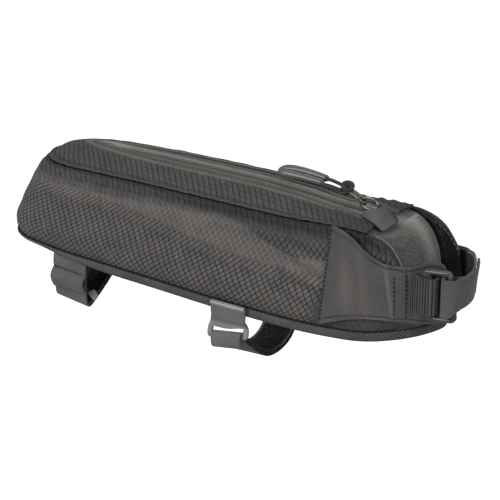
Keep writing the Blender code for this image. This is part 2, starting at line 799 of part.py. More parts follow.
def tail_strap():
    """The tail's hook-and-loop strap, its outer flap and the small tab on its end."""
    front, back = TAIL_STRAP_X + STRAP_WIDTH / 2, TAIL_STRAP_X - STRAP_WIDTH / 2
    # Both lie along the floor's slope at the top, and level out below it.
    slope = (floor_z(front) - floor_z(back)) / STRAP_WIDTH
    middle = (floor_z(front) + floor_z(back)) / 2
    under = middle - STRAP_THICK / 2 - 3 * GAP
    path = smooth_path(across_bag(TAIL_STRAP_X, shares_across(TAIL_STRAP_WAY), under), 44)
    leans = []
    for p in path:
        depth = min(max((-p.z - 0.008) / 0.012, 0.0), 1.0)
        leans.append(slope * min(max(1 + p.z / 0.012, 0.0), 1.0) + TAIL_FOLD_LEAN * depth)
    ribbon("tail_strap", hook_strap(), path, (STRAP_WIDTH, 0, 0), leans=leans)
    way = across_bag(TAIL_STRAP_X + FLAP_SHIFT, shares_across(TAIL_FLAP_WAY), middle - 3 * GAP)
    path = smooth_path(way, 14)
    leans = [slope * min(max(1 + p.z / 0.012, 0.0), 1.0) for p in path]
    ribbon("tail_strap_flap", hook_strap(), path, (STRAP_WIDTH + 0.0006, 0, 0), leans=leans)
    rows = []
    for step in range(5):
        share = step / 4
        x = TAIL_STRAP_X + STRAP_WIDTH / 2 - 0.0050 + 0.0100 * share
        lean = 0.0022 * share
        top, low = TAB_TOP * BAG_WIDTH / 2, TAB_LOW * BAG_WIDTH / 2
        rows.append([Vector((x, top + lean, -0.0150 - lean)), Vector((x, low + lean, -0.0212 - lean))])
    cloth("tail_strap_tab", grey_plastic(), rows, 0.0010, 0.0)


HOOK_X = 0.0037
HOOK_THICK = 0.0018
# The hook's face from its top hem to its bar. y is a share of half the bag's width and half its own half width.
HookRow = namedtuple("HookRow", "y z half")
HOOK_ROWS = (
    HookRow(-0.9894, 0.0058, 0.0116),
    HookRow(-1.0177, 0.0040, 0.0118),
    HookRow(-1.0177, 0.0000, 0.0118),
    HookRow(-0.9929, -0.0030, 0.0116),
    HookRow(-0.9858, -0.0058, 0.0124),
    HookRow(-0.9965, -0.0085, 0.0138),
    HookRow(-1.0106, -0.0118, 0.0142),
    HookRow(-1.0142, -0.0145, 0.0138),
    HookRow(-1.0142, -0.0155, 0.0122),
)
HOOK_BAR_Y = -1.0142 * BAG_WIDTH / 2
HOOK_BAR_Z = -0.0144
HOOK_LEAN = 0.165


def hook_lean(z):
    """How far the hook's width tilts at a height: level on the floor's edge, tilted at its bar."""
    return HOOK_LEAN * min(max((-0.0020 - z) / 0.0070, 0.0), 1.0)


def leaning(x, y, z):
    return Vector((x, y, z + (x - HOOK_X) * hook_lean(z)))


def frame_hook():
    """The moulded hook on the floor's near edge, whose slot takes the front strap."""
    rows = []
    for row in HOOK_ROWS:
        y = row.y * BAG_WIDTH / 2
        rows.append([leaning(HOOK_X + row.half * (k / 4 - 1), y, row.z) for k in range(9)])
    made = cloth("frame_hook", grey_plastic(), rows, HOOK_THICK, 0.0)
    # The slot's upper edge dips in the middle.
    outline = []
    for k in range(13):
        share = k / 6 - 1
        outline.append((HOOK_X + 0.0112 * share, -0.0092 - 0.0016 * cos(share * pi / 2) ** 2))
    outline += [(HOOK_X + 0.0110, HOOK_BAR_Z + 0.0010), (HOOK_X - 0.0110, HOOK_BAR_Z + 0.0010)]
    rings = [[leaning(x, HOOK_BAR_Y + y, z) for x, z in outline] for y in (-0.0054, 0.0066)]
    slot = add_object("hook_slot", grey_plastic(), grid_mesh("hook_slot", rings, ring_columns=True, caps=True))
    cut_from(made, slot)


# The front strap's way under the bag, from its seam at the far edge to the hook, and its end folded back outside.
# Each point is a share of half the bag's width and a height.
HOOK_STRAP_WAY = (
    (0.4255, 0.0000),
    (0.6738, 0.0000),
    (0.9043, -0.0030),
    (1.0284, -0.0110),
    (1.0461, -0.0205),
    (0.9291, -0.0295),
    (0.6383, -0.0350),
    (0.2482, -0.0363),
    (-0.1064, -0.0343),
    (-0.4255, -0.0292),
    (-0.6738, -0.0238),
    (-0.8404, -0.0198),
    (-0.9149, -0.0168),
)
HOOK_STRAP_FOLD = (
    (-1.1028, -0.0172),
    (-1.0745, -0.0200),
    (-1.0035, -0.0216),
)


def front_strap():
    """The front hook-and-loop strap: sewn under the floor's far edge, through the hook, folded back outside."""
    reach = HOOK_THICK / 2 + STRAP_THICK / 2 + GAP + 0.0006
    turn = arc((HOOK_BAR_Y, HOOK_BAR_Z), reach, 0, 180, 8)
    under = -STRAP_THICK / 2 - 2 * GAP
    route, folded = shares_across(HOOK_STRAP_WAY), shares_across(HOOK_STRAP_FOLD)
    way = smooth_path(across_bag(HOOK_X, (*route, turn[0]), under), 52)
    fold = smooth_path(across_bag(HOOK_X, (turn[-1], *folded), under), 6)
    path = way + [Vector((HOOK_X, y, z)) for y, z in turn[1:-1]] + fold
    leans = [HOOK_LEAN * min(max((0.0 - p.y) / 0.020, 0.0), 1.0) for p in path]
    ribbon("front_strap", hook_strap(), path, (0.0208, 0, 0), leans=leans)


# Slider, puller tab, cord, knot and grip on top of the zip
SLIDER_BACK = 0.01114
SLIDER_X = front_x(1.0) - SLIDER_BACK
SLIDER_LENGTH = 0.0110
SLIDER_WIDTH = 0.0080
SLIDER_THICK = 0.0019
BAIL_WIRE = 0.0008
BAIL_REACH = 0.0050
BAIL_RISE = 0.0044
TAB_LENGTH = 0.0142
TAB_WIDTH = 0.0056
TAB_THICK = 0.0011
TAB_SLOPE = radians(25)
CORD_WIDTH = 0.0021


def slider_pitch():
    """The film's slope under the slider."""
    drop = crest_z(SLIDER_X - SLIDER_LENGTH / 2) - crest_z(SLIDER_X + SLIDER_LENGTH / 2)
    return atan2(drop, SLIDER_LENGTH)


def slider_base():
    """The underside of the slider's middle, just clear of the film."""
    ends = crest_z(SLIDER_X - SLIDER_LENGTH / 2) + crest_z(SLIDER_X + SLIDER_LENGTH / 2)
    return max(ends / 2, crest_z(SLIDER_X)) + GAP


def on_slider(local):
    """A point in the slider's own axes, which pitch with the film."""
    pitch = slider_pitch()
    return Vector((
        SLIDER_X + local[0] * cos(pitch) + local[2] * sin(pitch),
        zip_mid_y(SLIDER_X) + local[1],
        slider_base() + local[2] * cos(pitch) - local[0] * sin(pitch),
    ))


def zip_slider():
    """The slider's body with its bail in one piece."""
    size = (SLIDER_LENGTH, SLIDER_WIDTH, SLIDER_THICK)
    body = rounded_box("zip_slider", gunmetal(), (0, 0, SLIDER_THICK / 2), size, 0.0009)
    for vert in body.data.vertices:
        vert.co = on_slider(vert.co)
    foot, rise = SLIDER_THICK * 0.4, SLIDER_THICK * 0.6 + BAIL_RISE
    path = []
    for k in range(13):
        angle = pi * k / 12
        path.append(on_slider((-BAIL_REACH * cos(angle), 0.0, foot + rise * sin(angle) ** 0.6)))
    bail = tube("slider_bail", gunmetal(), path, [BAIL_WIRE] * len(path))
    bail.hide_render = True
    bail.display_type = "WIRE"
    join = body.modifiers.new("bail", "BOOLEAN")
    join.operation = "UNION"
    join.solver = "EXACT"
    join.object = bail


def sloped(origin, local):
    """A point in the puller tab's own axes, turned up to its slope."""
    return Vector((
        origin.x + local[0] * cos(TAB_SLOPE) + local[2] * sin(TAB_SLOPE),
        origin.y + local[1],
        origin.z - local[0] * sin(TAB_SLOPE) + local[2] * cos(TAB_SLOPE),
    ))


def sloped_plate(name, origin, length, width, thick):
    """A flat plate with rounded corners, in the puller tab's axes."""
    outline = []
    corner = width * 0.36
    for cx, cy, start in ((1, 1, 0), (-1, 1, 90), (-1, -1, 180), (1, -1, 270)):
        for k in range(5):
            angle = radians(start + 90 * k / 4)
            x = cx * (length / 2 - corner) + corner * cos(angle)
            y = cy * (width / 2 - corner) + corner * sin(angle)
            outline.append((x, y))
    rings = [[sloped(origin, (x, y, z)) for x, y in outline] for z in (-thick / 2, thick / 2)]
    return add_object(name, gunmetal(), grid_mesh(name, rings, ring_columns=True, caps=True))


def tab_origin():
    """The middle of the puller tab, whose hole is round the bail's rear leg."""
    leg = on_slider((-BAIL_REACH + 0.0002, 0.0, SLIDER_THICK + 0.0014))
    return sloped(leg, (-0.0046, 0.0, 0.0))


def puller_tab():
    tab = sloped_plate("puller_tab", tab_origin(), TAB_LENGTH, TAB_WIDTH, TAB_THICK)
    for name, place, length in (("tab_hole", 0.0046, 0.0038), ("tab_eye", -0.0046, 0.0032)):
        cut_from(tab, sloped_plate(name, sloped(tab_origin(), (place, 0, 0)), length, 0.0032, 0.01))


KNOT_SIZE = (0.0034, 0.0032, 0.0038)
GRIP_TAIL = SLIDER_X - 0.0611
GRIP_HEAD = SLIDER_X - 0.0326


def knot_centre():
    return sloped(tab_origin(), (-TAB_LENGTH / 2 - KNOT_SIZE[0] - 0.0006, 0.0, -0.0006))


def puller_knot():
    """The knot that closes the cord loop at the tab."""
    mesh = bpy.data.meshes.new("puller_knot")
    ball = bmesh.new()
    bmesh.ops.create_uvsphere(ball, u_segments=16, v_segments=10, radius=1.0)
    for vert in ball.verts:
        twist = 1 + 0.10 * sin(3 * vert.co.z + 2 * vert.co.y)
        vert.co = knot_centre() + Vector([c * s * twist for c, s in zip(vert.co, KNOT_SIZE)])
    ball.to_mesh(mesh)
    ball.free()
    add_object("puller_knot", cord_weave(), mesh)


# The grip's two legs, each from the bend at its tail to its open head. far and near give each leg's distance from
# the middle and its height over the zip, in metres.
GripRow = namedtuple("GripRow", "along far_y far_up near_y near_up radius")
GRIP_ROWS = (
    GripRow(0.00, 0.0034, 0.0056, 0.0012, 0.0050, 0.0024),
    GripRow(0.08, 0.0044, 0.0062, -0.0002, 0.0052, 0.0025),
    GripRow(0.30, 0.0050, 0.0068, -0.0008, 0.0056, 0.0024),
    GripRow(0.60, 0.0048, 0.0068, -0.0008, 0.0056, 0.0022),
    GripRow(1.00, 0.0042, 0.0064, -0.0008, 0.0054, 0.0020),
)


def grip_point(along, side):
    x = GRIP_TAIL + (GRIP_HEAD - GRIP_TAIL) * along
    name = "far" if side > 0 else "near"
    y = read_table(GRIP_ROWS, name + "_y", along)
    up = read_table(GRIP_ROWS, name + "_up", along)
    return Vector((x, zip_mid_y(GRIP_TAIL) + y, crest_z(x) + GAP + up))


def puller_grip():
    """The moulded grip: a sleeve bent into a narrow U, whose legs take the cord's two strands."""
    far = [grip_point(k / 8, 1) for k in range(1, 9)]
    near = [grip_point(k / 8, -1) for k in range(1, 9)]
    tip = [
        grip_point(0.045, 1),
        (grip_point(0.0, 1) + grip_point(0.0, -1)) / 2,
        grip_point(0.045, -1),
    ]
    path = list(reversed(far)) + tip + near
    radii = [read_table(GRIP_ROWS, "radius", min(abs(p.x - GRIP_TAIL) / (GRIP_HEAD - GRIP_TAIL), 1.0)) for p in path]
    tube("puller_grip", moulded(), path, radii)


def cord_strand(name, side):
    """One strand of the cord, from the grip's open end to the knot."""
    start = grip_point(1.0, side) + Vector((4 * GAP, 0, 0))
    knot = knot_centre()
    end = knot + Vector((-KNOT_SIZE[0] * 0.98 - 0.0012, side * 0.0012, 0.0010 * side))
    middle = start.lerp(end, 0.5) + Vector((0, 0, 0.0005 * side))
    path = smooth_path([start, middle, end], 7)
    tube(name, cord_weave(), path, [CORD_WIDTH / 2] * len(path))


# Hood over the zip's front end. ahead is metres ahead of the top's front edge, middle and side its middle's y and
# its half width, rise how far its middle stands over the bag's top.
HoodRow = namedtuple("HoodRow", "ahead middle side rise")
HOOD_ROWS = (
    HoodRow(-0.00464, -0.0045, 0.0108, 0.0024),
    HoodRow(-0.00314, -0.0049, 0.0107, 0.0022),
    HoodRow(-0.00074, -0.0056, 0.0104, 0.0017),
    HoodRow(0.00146, -0.0063, 0.0101, 0.0012),
    HoodRow(0.00386, -0.0072, 0.0098, 0.0007),
    HoodRow(0.00646, -0.0082, 0.0092, 0.0004),
)
HOOD_FALL = 0.45


def zip_garage():
    """The smooth hood that the zip's front end runs under, sloping down on to the padded wall."""
    across = 8
    rows = []
    for row in HOOD_ROWS:
        points = []
        for i in range(across + 1):
            share = 2 * i / across - 1
            y = row.middle + row.side * share
            edge = front_x(1.0)
            x = edge + row.ahead
            ground = top_z(min(x, edge), y) - HOOD_FALL * max(row.ahead, 0.0) + 2 * GAP + HOOD_THICK
            points.append(Vector((x, y, ground + row.rise * (1 - share**4))))
        rows.append(points)
    cloth("zip_garage", film(), rows, HOOD_THICK)


# The small gusset between the near wing's lower corner and the floor's front rim, in points as the steerer strap's
CORNER_TOP = ((-0.0050, -0.9574, 0.0231), (0.0025, -0.9291, 0.0239), (0.0090, -0.9078, 0.0254))
CORNER_LOW = ((-0.0075, -0.6206, 0.0184), (-0.0025, -0.4255, 0.0208), (0.0015, -0.3014, 0.0228))


def wing_corner():
    rows = []
    for share in (0.0, 0.35, 0.7, 1.0):
        row = []
        for high, low in zip(round_front(CORNER_TOP), round_front(CORNER_LOW)):
            p = Vector(high).lerp(Vector(low), share)
            p.z -= 0.0012 * sin(share * pi)
            row.append(p)
        rows.append(row)
    cloth("wing_corner", plain_ripstop(), rows, 0.0011, 0.0)


def clear_scene():
    for obj in list(bpy.data.objects):
        bpy.data.objects.remove(obj)


def main():
    clear_scene()
    base_plate()
    base_binding()
    body_wall()
    top_panel()
    zip_tape("zip_tape_near", -1)
    zip_tape("zip_tape_far", 1)
    front_pad()
    wing("wing_near", WING_NEAR, -1)
    wing("wing_far", WING_FAR, 1)
    strap_buckle()
    wing_webbing()
    steerer_strap()
    tail_strap()
    frame_hook()
    front_strap()
    zip_slider()
    puller_tab()
    puller_knot()
    puller_grip()
    cord_strand("puller_cord_far", 1)
    cord_strand("puller_cord_near", -1)
    zip_garage()
    wing_corner()


main()
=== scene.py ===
"""Looks of the bicycle frame bag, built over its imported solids. Metres, +X to the front, -Y to the near side."""

from collections import namedtuple
from math import atan2, cos, exp, pi, radians, sin

import bpy
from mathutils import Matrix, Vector, noise


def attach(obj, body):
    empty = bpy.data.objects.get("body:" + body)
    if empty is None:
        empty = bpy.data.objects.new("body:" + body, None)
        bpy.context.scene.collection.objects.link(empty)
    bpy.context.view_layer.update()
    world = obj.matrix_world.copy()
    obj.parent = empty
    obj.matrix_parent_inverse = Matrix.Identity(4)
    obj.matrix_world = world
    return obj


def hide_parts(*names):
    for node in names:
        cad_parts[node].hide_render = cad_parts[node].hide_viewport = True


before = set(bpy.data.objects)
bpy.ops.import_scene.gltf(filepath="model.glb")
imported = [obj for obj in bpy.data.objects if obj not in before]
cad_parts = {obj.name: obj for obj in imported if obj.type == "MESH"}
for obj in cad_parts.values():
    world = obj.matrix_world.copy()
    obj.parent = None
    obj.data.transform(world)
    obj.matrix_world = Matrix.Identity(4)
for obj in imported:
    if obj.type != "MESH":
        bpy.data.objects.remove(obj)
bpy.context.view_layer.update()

# The bag's main sizes, as in the solids
TAIL_X = -0.175
BODY_LENGTH = 0.304
BAG_WIDTH = 0.0564
SIDE_HEIGHT = 0.0625
CROWN_RISE = 0.0092
TAIL_RAKE = 0.029
SIDE_BULGE = 0.0013
FLOOR_BOW = 0.0080
FLOOR_THICK = 0.0055
SEAM_BASE = 0.0058
GAP = 0.0003
MM = 0.001


def table(columns, *rows):
    """Rows whose columns have names."""
    row_type = namedtuple("Row", columns)
    return [row_type(*row) for row in rows]


SECTIONS = table(
    "along floor seam height crown bow dip sole",
    (0.000, 0.75, 0.91, 0.945, 0.55, 1.36, 0.000, 0.20),
    (0.083, 0.745, 0.92, 0.955, 0.80, 0.98, 0.000, 0.34),
    (0.123, 0.745, 0.93, 0.965, 1.00, 0.74, 0.000, 0.44),
    (0.182, 0.755, 0.94, 0.980, 1.02, 0.37, 0.000, 0.76),
    (0.281, 0.79, 0.95, 0.990, 1.00, 0.16, 0.000, 1.00),
    (0.414, 0.84, 0.96, 0.998, 0.99, 0.08, 0.000, 1.00),
    (0.546, 0.89, 0.98, 1.000, 0.98, 0.00, 0.000, 1.00),
    (0.712, 0.92, 1.00, 1.004, 0.95, 0.02, 0.000, 1.00),
    (0.778, 0.93, 1.00, 1.020, 0.68, 0.14, 0.036, 1.00),
    (0.844, 0.93, 0.97, 1.028, 0.47, 0.36, 0.020, 1.00),
    (0.884, 0.93, 0.94, 1.016, 0.17, 0.57, 0.004, 1.00),
    (0.911, 0.93, 0.90, 1.000, 0.04, 0.75, 0.000, 1.00),
    (0.960, 0.93, 0.87, 0.960, 0.00, 1.16, 0.000, 1.00),
    (1.000, 0.93, 0.86, 0.920, 0.00, 1.58, 0.000, 1.00),
)
FLOOR_TAIL = 0.003
FLOOR_TAIL_NOSE = 0.024
SEAM_TAIL_NOSE = 0.034
FRONT_NOSE = 0.044
FRONT_POINT = 1.75

LEVELS = table(
    "up rake front width bulge",
    (0.00, 0.03, 0.937, 0.00, 0.00),
    (0.03, 0.03, 0.943, 0.16, 0.40),
    (0.08, 0.03, 0.948, 0.34, 0.70),
    (0.22, 0.09, 0.953, 0.66, 1.00),
    (0.42, 0.29, 0.960, 0.88, 1.00),
    (0.62, 0.48, 0.957, 0.97, 1.00),
    (0.80, 0.66, 0.945, 1.00, 0.85),
    (0.91, 0.80, 0.930, 1.00, 0.50),
    (0.97, 0.92, 0.911, 1.00, 0.15),
    (1.00, 1.00, 0.884, 1.00, 0.00),
)

PAD_ROWS = table(
    "up along above knuckle",
    (0.00, 0.960, 0.288, 0.00),
    (0.12, 0.976, 0.345, 0.00),
    (0.30, 0.976, 0.480, 0.00),
    (0.50, 0.972, 0.640, 0.00),
    (0.68, 0.966, 0.785, 0.01),
    (0.80, 0.958, 0.890, 0.02),
    (0.88, 0.949, 0.970, 0.04),
    (0.93, 0.937, 1.035, 0.06),
    (0.96, 0.921, 1.075, 0.07),
    (0.98, 0.904, 1.070, 0.03),
)
PAD_TUCK = 0.0030

ZIP_WIDTH = 0.0206
ZIP_START = 0.189
ZIP_TAPER = 0.086
ZIP_POINT = 2.2
ZIP_EDGE_RISE = 0.90
ZIP_SWAY = 0.0045
ZIP_SWAY_START = 0.56
ZIP_SWAY_END = 0.80
NOSE_SHARE = 6 / 26


def at(along):
    return TAIL_X + along * BODY_LENGTH


def clamp(value):
    return min(max(value, 0.0), 1.0)


def ease(low, high, value):
    """0 below low, 1 above high, and smooth between."""
    t = clamp((value - low) / (high - low))
    return t * t * (3 - 2 * t)


def hump(value, centre, width):
    return exp(-(((value - centre) / width) ** 2))


def read_table(rows, column, key):
    """A table's column at a place along its first column, on a smooth curve through the rows."""
    keys = [row[0] for row in rows]
    values = [getattr(row, column) for row in rows]
    key = min(max(key, keys[0]), keys[-1])
    i = max(k for k in range(len(keys) - 1) if keys[k] <= key + 1e-9)
    span = keys[i + 1] - keys[i]
    t = (key - keys[i]) / span

    def slope(k):
        if k == 0 or k == len(keys) - 1:
            j = min(k, len(keys) - 2)
            return (values[j + 1] - values[j]) / (keys[j + 1] - keys[j])
        return (values[k + 1] - values[k - 1]) / (keys[k + 1] - keys[k - 1])

    a, b, m0, m1 = values[i], values[i + 1], slope(i) * span, slope(i + 1) * span
    return (
        a * (2 * t**3 - 3 * t**2 + 1)
        + m0 * (t**3 - 2 * t**2 + t)
        + b * (3 * t**2 - 2 * t**3)
        + m1 * (t**3 - t**2)
    )


def section(column, x):
    return read_table(SECTIONS, column, (x - TAIL_X) / BODY_LENGTH)


def level(column, up):
    return read_table(LEVELS, column, up)


def floor_z(x):
    return FLOOR_BOW * section("bow", x)


def floor_thick(x):
    return FLOOR_THICK * section("sole", x)


def wall_low_z(x):
    return floor_z(x) + floor_thick(x) + GAP


def seam_z(x):
    return SEAM_BASE + SIDE_HEIGHT * section("height", x)


def far_dip(x, y):
    """How far the top falls away towards the far side, near the front."""
    return SIDE_HEIGHT * section("dip", x) * clamp(y / seam_half(x))


def crest_z(x):
    return seam_z(x) + CROWN_RISE * section("crown", x)


def zip_edge_z(x):
    return seam_z(x) + ZIP_EDGE_RISE * CROWN_RISE * section("crown", x)


def seam_half(x):
    return BAG_WIDTH / 2 * section("seam", x)


def floor_half(x):
    start = at(1.0) - FRONT_NOSE
    share = clamp((x - start) / FRONT_NOSE)
    return BAG_WIDTH / 2 * section("floor", x) * (1 - share**FRONT_POINT) ** (1 / FRONT_POINT)


def wall_half(x, up):
    return floor_half(x) + (seam_half(x) - floor_half(x)) * level("width", up)


def tail_nose(up):
    return FLOOR_TAIL_NOSE + (SEAM_TAIL_NOSE - FLOOR_TAIL_NOSE) * up


def front_x(up):
    return at(level("front", up))


def outline(q, start, nose, end):
    """(x, share of the half width, outward direction) at a share of one side, from the tail's tip to the front."""
    if q < NOSE_SHARE:
        angle = pi / 2 * q / NOSE_SHARE
        return start + nose * (1 - cos(angle)), sin(angle), (-cos(angle), sin(angle))
    run = (q - NOSE_SHARE) / (1 - NOSE_SHARE)
    return start + nose + (end - start - nose) * run, 1.0, (0.0, 1.0)


def from_tail(u):
    """The share of one side, from the tail's tip to the front. u runs from the near front to the far front."""
    return abs(u - 0.5) * 2


def wall_point(u, up, lift=0.0):
    """A point on the wall, at u round it and up it."""
    side = -1 if u < 0.5 else 1
    q = from_tail(u)
    x, share, out = outline(q, TAIL_X + TAIL_RAKE * level("rake", up), tail_nose(up), front_x(up))
    low, high = wall_low_z(x), seam_z(x) - 0.0008
    push = SIDE_BULGE * level("bulge", up) + wall_dent(u, up) + lift
    y = side * (share * wall_half(x, up) + out[1] * push)
    z = low + (high - low) * up
    return Vector((x + out[0] * push, y, z - far_dip(x, y) * up**3))


def wall_dent(u, up):
    """How far the cloth stands out of its plain curve: pulled in under the top seam, slack folds and puckers."""
    near = u < 0.5
    q = from_tail(u)
    under_seam = -1.3 * MM * hump(up, 0.90, 0.07) * ease(0.35, 0.55, q) * (1 - ease(0.92, 1.0, q))
    sag = 0.5 * MM * hump(up, 0.55, 0.25) * sin(q * 9.0 + (0.6 if near else 2.1))
    slack = 0.45 * MM * noise.noise(Vector((u * 26, up * 2.2, 3.0 if near else 8.0))) * sin(pi * up)
    pucker = 0.5 * MM * sin(up * 34 + q * 60) * ease(0.74, 0.80, q) * (1 - ease(0.84, 0.9, q)) * sin(pi * up)
    hem = -0.5 * MM * hump(up, 0.035, 0.03)
    fold = 0.5 * MM * (hump(q, 0.790, 0.012) - hump(q, 0.770, 0.010)) * ease(0.1, 0.35, up) * (1 - ease(0.9, 1.0, up))
    place = Vector((u * 75, up * 3.0, 5.0 if near else 9.0))
    gathers = 0.85 * MM * noise.noise(place) * (hump(up, 0.92, 0.10) + 0.5 * hump(up, 0.05, 0.05))
    slants = 0.5 * MM * noise.noise(Vector((u * 34 + up * 4, up * 1.5 - u * 6, 1.0))) * sin(pi * up)
    return under_seam + sag + slack + pucker + hem + fold + gathers + slants


def zip_half_width(x):
    share = clamp((x - at(ZIP_START)) / ZIP_TAPER)
    return ZIP_WIDTH / 2 * (1 - (1 - share) ** ZIP_POINT)


def zip_mid_y(x):
    return -ZIP_SWAY * ease(at(ZIP_SWAY_START), at(ZIP_SWAY_END), x)


def top_z(x, y):
    inner, outer, mid = max(zip_half_width(x), 0.0005), seam_half(x), zip_mid_y(x)
    if abs(y - mid) <= inner:
        rise = (crest_z(x) - zip_edge_z(x)) * (1 - ((y - mid) / inner) ** 2)
        return zip_edge_z(x) + rise - far_dip(x, y)
    edge = inner + mid if y > mid else inner - mid
    share = max((outer - abs(y)) / (outer - edge), 0.0)
    return seam_z(x) + (zip_edge_z(x) - seam_z(x)) * sin(share * pi / 2) ** 0.9 - far_dip(x, y)


def top_point(u, v, lift=0.0):
    """A point on the top panel, from the outer seam at v 0 to the zip's edge at v 1."""
    near = u < 0.5
    q = from_tail(u)
    end = front_x(1.0)
    low_x, width, _ = outline(q, TAIL_X + TAIL_RAKE, SEAM_TAIL_NOSE, end)
    high_x = at(ZIP_START) + (end - at(ZIP_START)) * q**1.25
    low_y = width * seam_half(low_x)
    x = low_x + (high_x - low_x) * v
    rise = sin(v * pi / 2) ** 0.9
    z = seam_z(low_x) + (zip_edge_z(high_x) - seam_z(low_x)) * rise
    if near:
        y = -low_y + (zip_mid_y(high_x) - zip_half_width(high_x) + low_y) * v
    else:
        y = low_y + (zip_mid_y(high_x) + zip_half_width(high_x) - low_y) * v
        z -= far_dip(x, y)
    # The rolled seam stands up at the edge, and the cloth dips behind it and swells in the middle.
    roll = 0.5 * MM * hump(v, 0.040, 0.025) - 0.35 * MM * hump(v, 0.12, 0.05)
    swell = 0.5 * MM * sin(pi * v) * (0.6 + 0.4 * sin(q * 11 + (0 if near else 2)))
    ripple = 0.45 * MM * noise.noise(Vector((x * 90, y * 120, 1.0))) * sin(pi * v)
    ripple += 0.9 * MM * noise.noise(Vector((x * 240, 2.0 if near else 6.0, 1.0))) * hump(v, 0.06, 0.06)
    z += roll + swell + ripple + lift
    return Vector((x, y, z))


# Colours

WARM = (1.0, 0.935, 0.890)
TAPE_TINT = (1.0, 0.985, 0.95)
SATIN_TINT = (1, 1, 0.98)
LOOP_TINT = (1, 1, 0.97)


def warm(value, tint=WARM):
    """A grey of that value with a tint."""
    return tuple(value * c for c in tint)


DEEP = warm(0.008)

# Shader maths: a socket with the operators that the finishes use


class Wire:
    def __init__(self, finish, socket):
        self.finish = finish
        self.socket = socket

    def math(self, operation, *others):
        return self.finish.node("ShaderNodeMath", {"operation": operation}, dict(enumerate((self, *others))))

    def __add__(self, other):
        return self.math("ADD", other)

    def __sub__(self, other):
        return self.math("SUBTRACT", other)

    def __mul__(self, other):
        return self.math("MULTIPLY", other)

    def __truediv__(self, other):
        return self.math("DIVIDE", other)

    def __rsub__(self, other):
        return self.finish.node("ShaderNodeMath", {"operation": "SUBTRACT"}, {0: other, 1: self})

    __radd__ = __add__
    __rmul__ = __mul__

    def fract(self):
        return self.math("FRACT")

    def size(self):
        return self.math("ABSOLUTE")

    def wave(self):
        return self.math("SINE")

    def most(self, other):
        return self.math("MAXIMUM", other)

    def ease(self, low, high):
        """0 below low, 1 above high, and smooth between."""
        return self.finish.node(
            "ShaderNodeMapRange",
            {"interpolation_type": "SMOOTHSTEP"},
            {"Value": self, "From Min": low, "From Max": high, "To Min": 0.0, "To Max": 1.0},
        )


class Finish:
    """A material with its shader, and the one method that adds nodes to it."""

    def __init__(self, name, roughness=0.6, constants=None):
        self.material = bpy.data.materials.new(name)
        self.material.use_nodes = True
        self.tree = self.material.node_tree
        self.shader = self.tree.nodes["Principled BSDF"]
        self.shader.inputs["Roughness"].default_value = roughness
        for socket, value in (constants or {}).items():
            self.shader.inputs[socket].default_value = value

    def node(self, kind, settings=None, sockets=None, output=0):
        made = self.tree.nodes.new(kind)
        for setting, value in (settings or {}).items():
            setattr(made, setting, value)
        for socket, value in (sockets or {}).items():
            if isinstance(value, Wire):
                self.tree.links.new(value.socket, made.inputs[socket])
            else:
                made.inputs[socket].default_value = value
        return Wire(self, made.outputs[output])

    def split(self, vector):
        """The three parts of a vector."""
        first = self.node("ShaderNodeSeparateXYZ", {}, {0: vector})
        return [first] + [Wire(self, first.socket.node.outputs[k]) for k in (1, 2)]

    def surface(self):
        """The piece's own map in millimetres: s along it and t across it."""
        s, t, _ = self.split(self.node("ShaderNodeUVMap", {"uv_map": "UVMap"}))
        return s * 1000.0, t * 1000.0

    def attribute(self, name):
        return self.node("ShaderNodeAttribute", {"attribute_name": name}, output="Fac")

    def place(self):
        return self.node("ShaderNodeTexCoord", output="Object")

    def cloud(self, scale, detail=3.0, vector=None):
        """Soft noise from 0 to 1 over the object's own place."""
        vector = vector or self.place()
        return self.node("ShaderNodeTexNoise", {}, {"Vector": vector, "Scale": scale, "Detail": detail}, "Fac")

    def blend(self, share, first, second):
        """first where share is 0 and second where it is 1. Both are colours."""
        sockets = {0: share, 6: colour(first), 7: colour(second)}
        return self.node("ShaderNodeMix", {"data_type": "RGBA"}, sockets, 2)

    def mottled(self, tone, first, second):
        return self.blend(tone.ease(0.3, 0.7), first, second)

    def paint(self, wire):
        self.tree.links.new(wire.socket, self.shader.inputs["Base Color"])

    def paint_shaded(self, cover, dark=DEEP):
        """The cover, darkened where the piece is marked with shade."""
        self.paint(self.blend(self.attribute("shade"), cover, dark))

    def gloss(self, wire):
        self.tree.links.new(wire.socket, self.shader.inputs["Roughness"])

    def relief(self, height, distance, strength=1.0):
        bump = self.node("ShaderNodeBump", {}, {"Height": height, "Distance": distance, "Strength": strength})
        self.tree.links.new(bump.socket, self.shader.inputs["Normal"])


def colour(value):
    if isinstance(value, Wire):
        return value
    if isinstance(value, (int, float)):
        value = (value, value, value)
    return (*value, 1.0)


def thread_lines(s, t, angle, pitch, half):
    """1 on the threads of one direction and 0 between them."""
    run = (s * sin(radians(angle)) - t * cos(radians(angle))) / pitch
    off = ((run.fract() - 0.5).size() * -1.0 + 0.5) * pitch
    return 1.0 - off.ease(half * 0.6, half * 1.15)


def weave_of(s, t, along, across):
    """Fine checks from 0 to 1, so close along the cloth and across it."""
    return ((s * along).wave() * (t * across).wave()) * 0.5 + 0.5


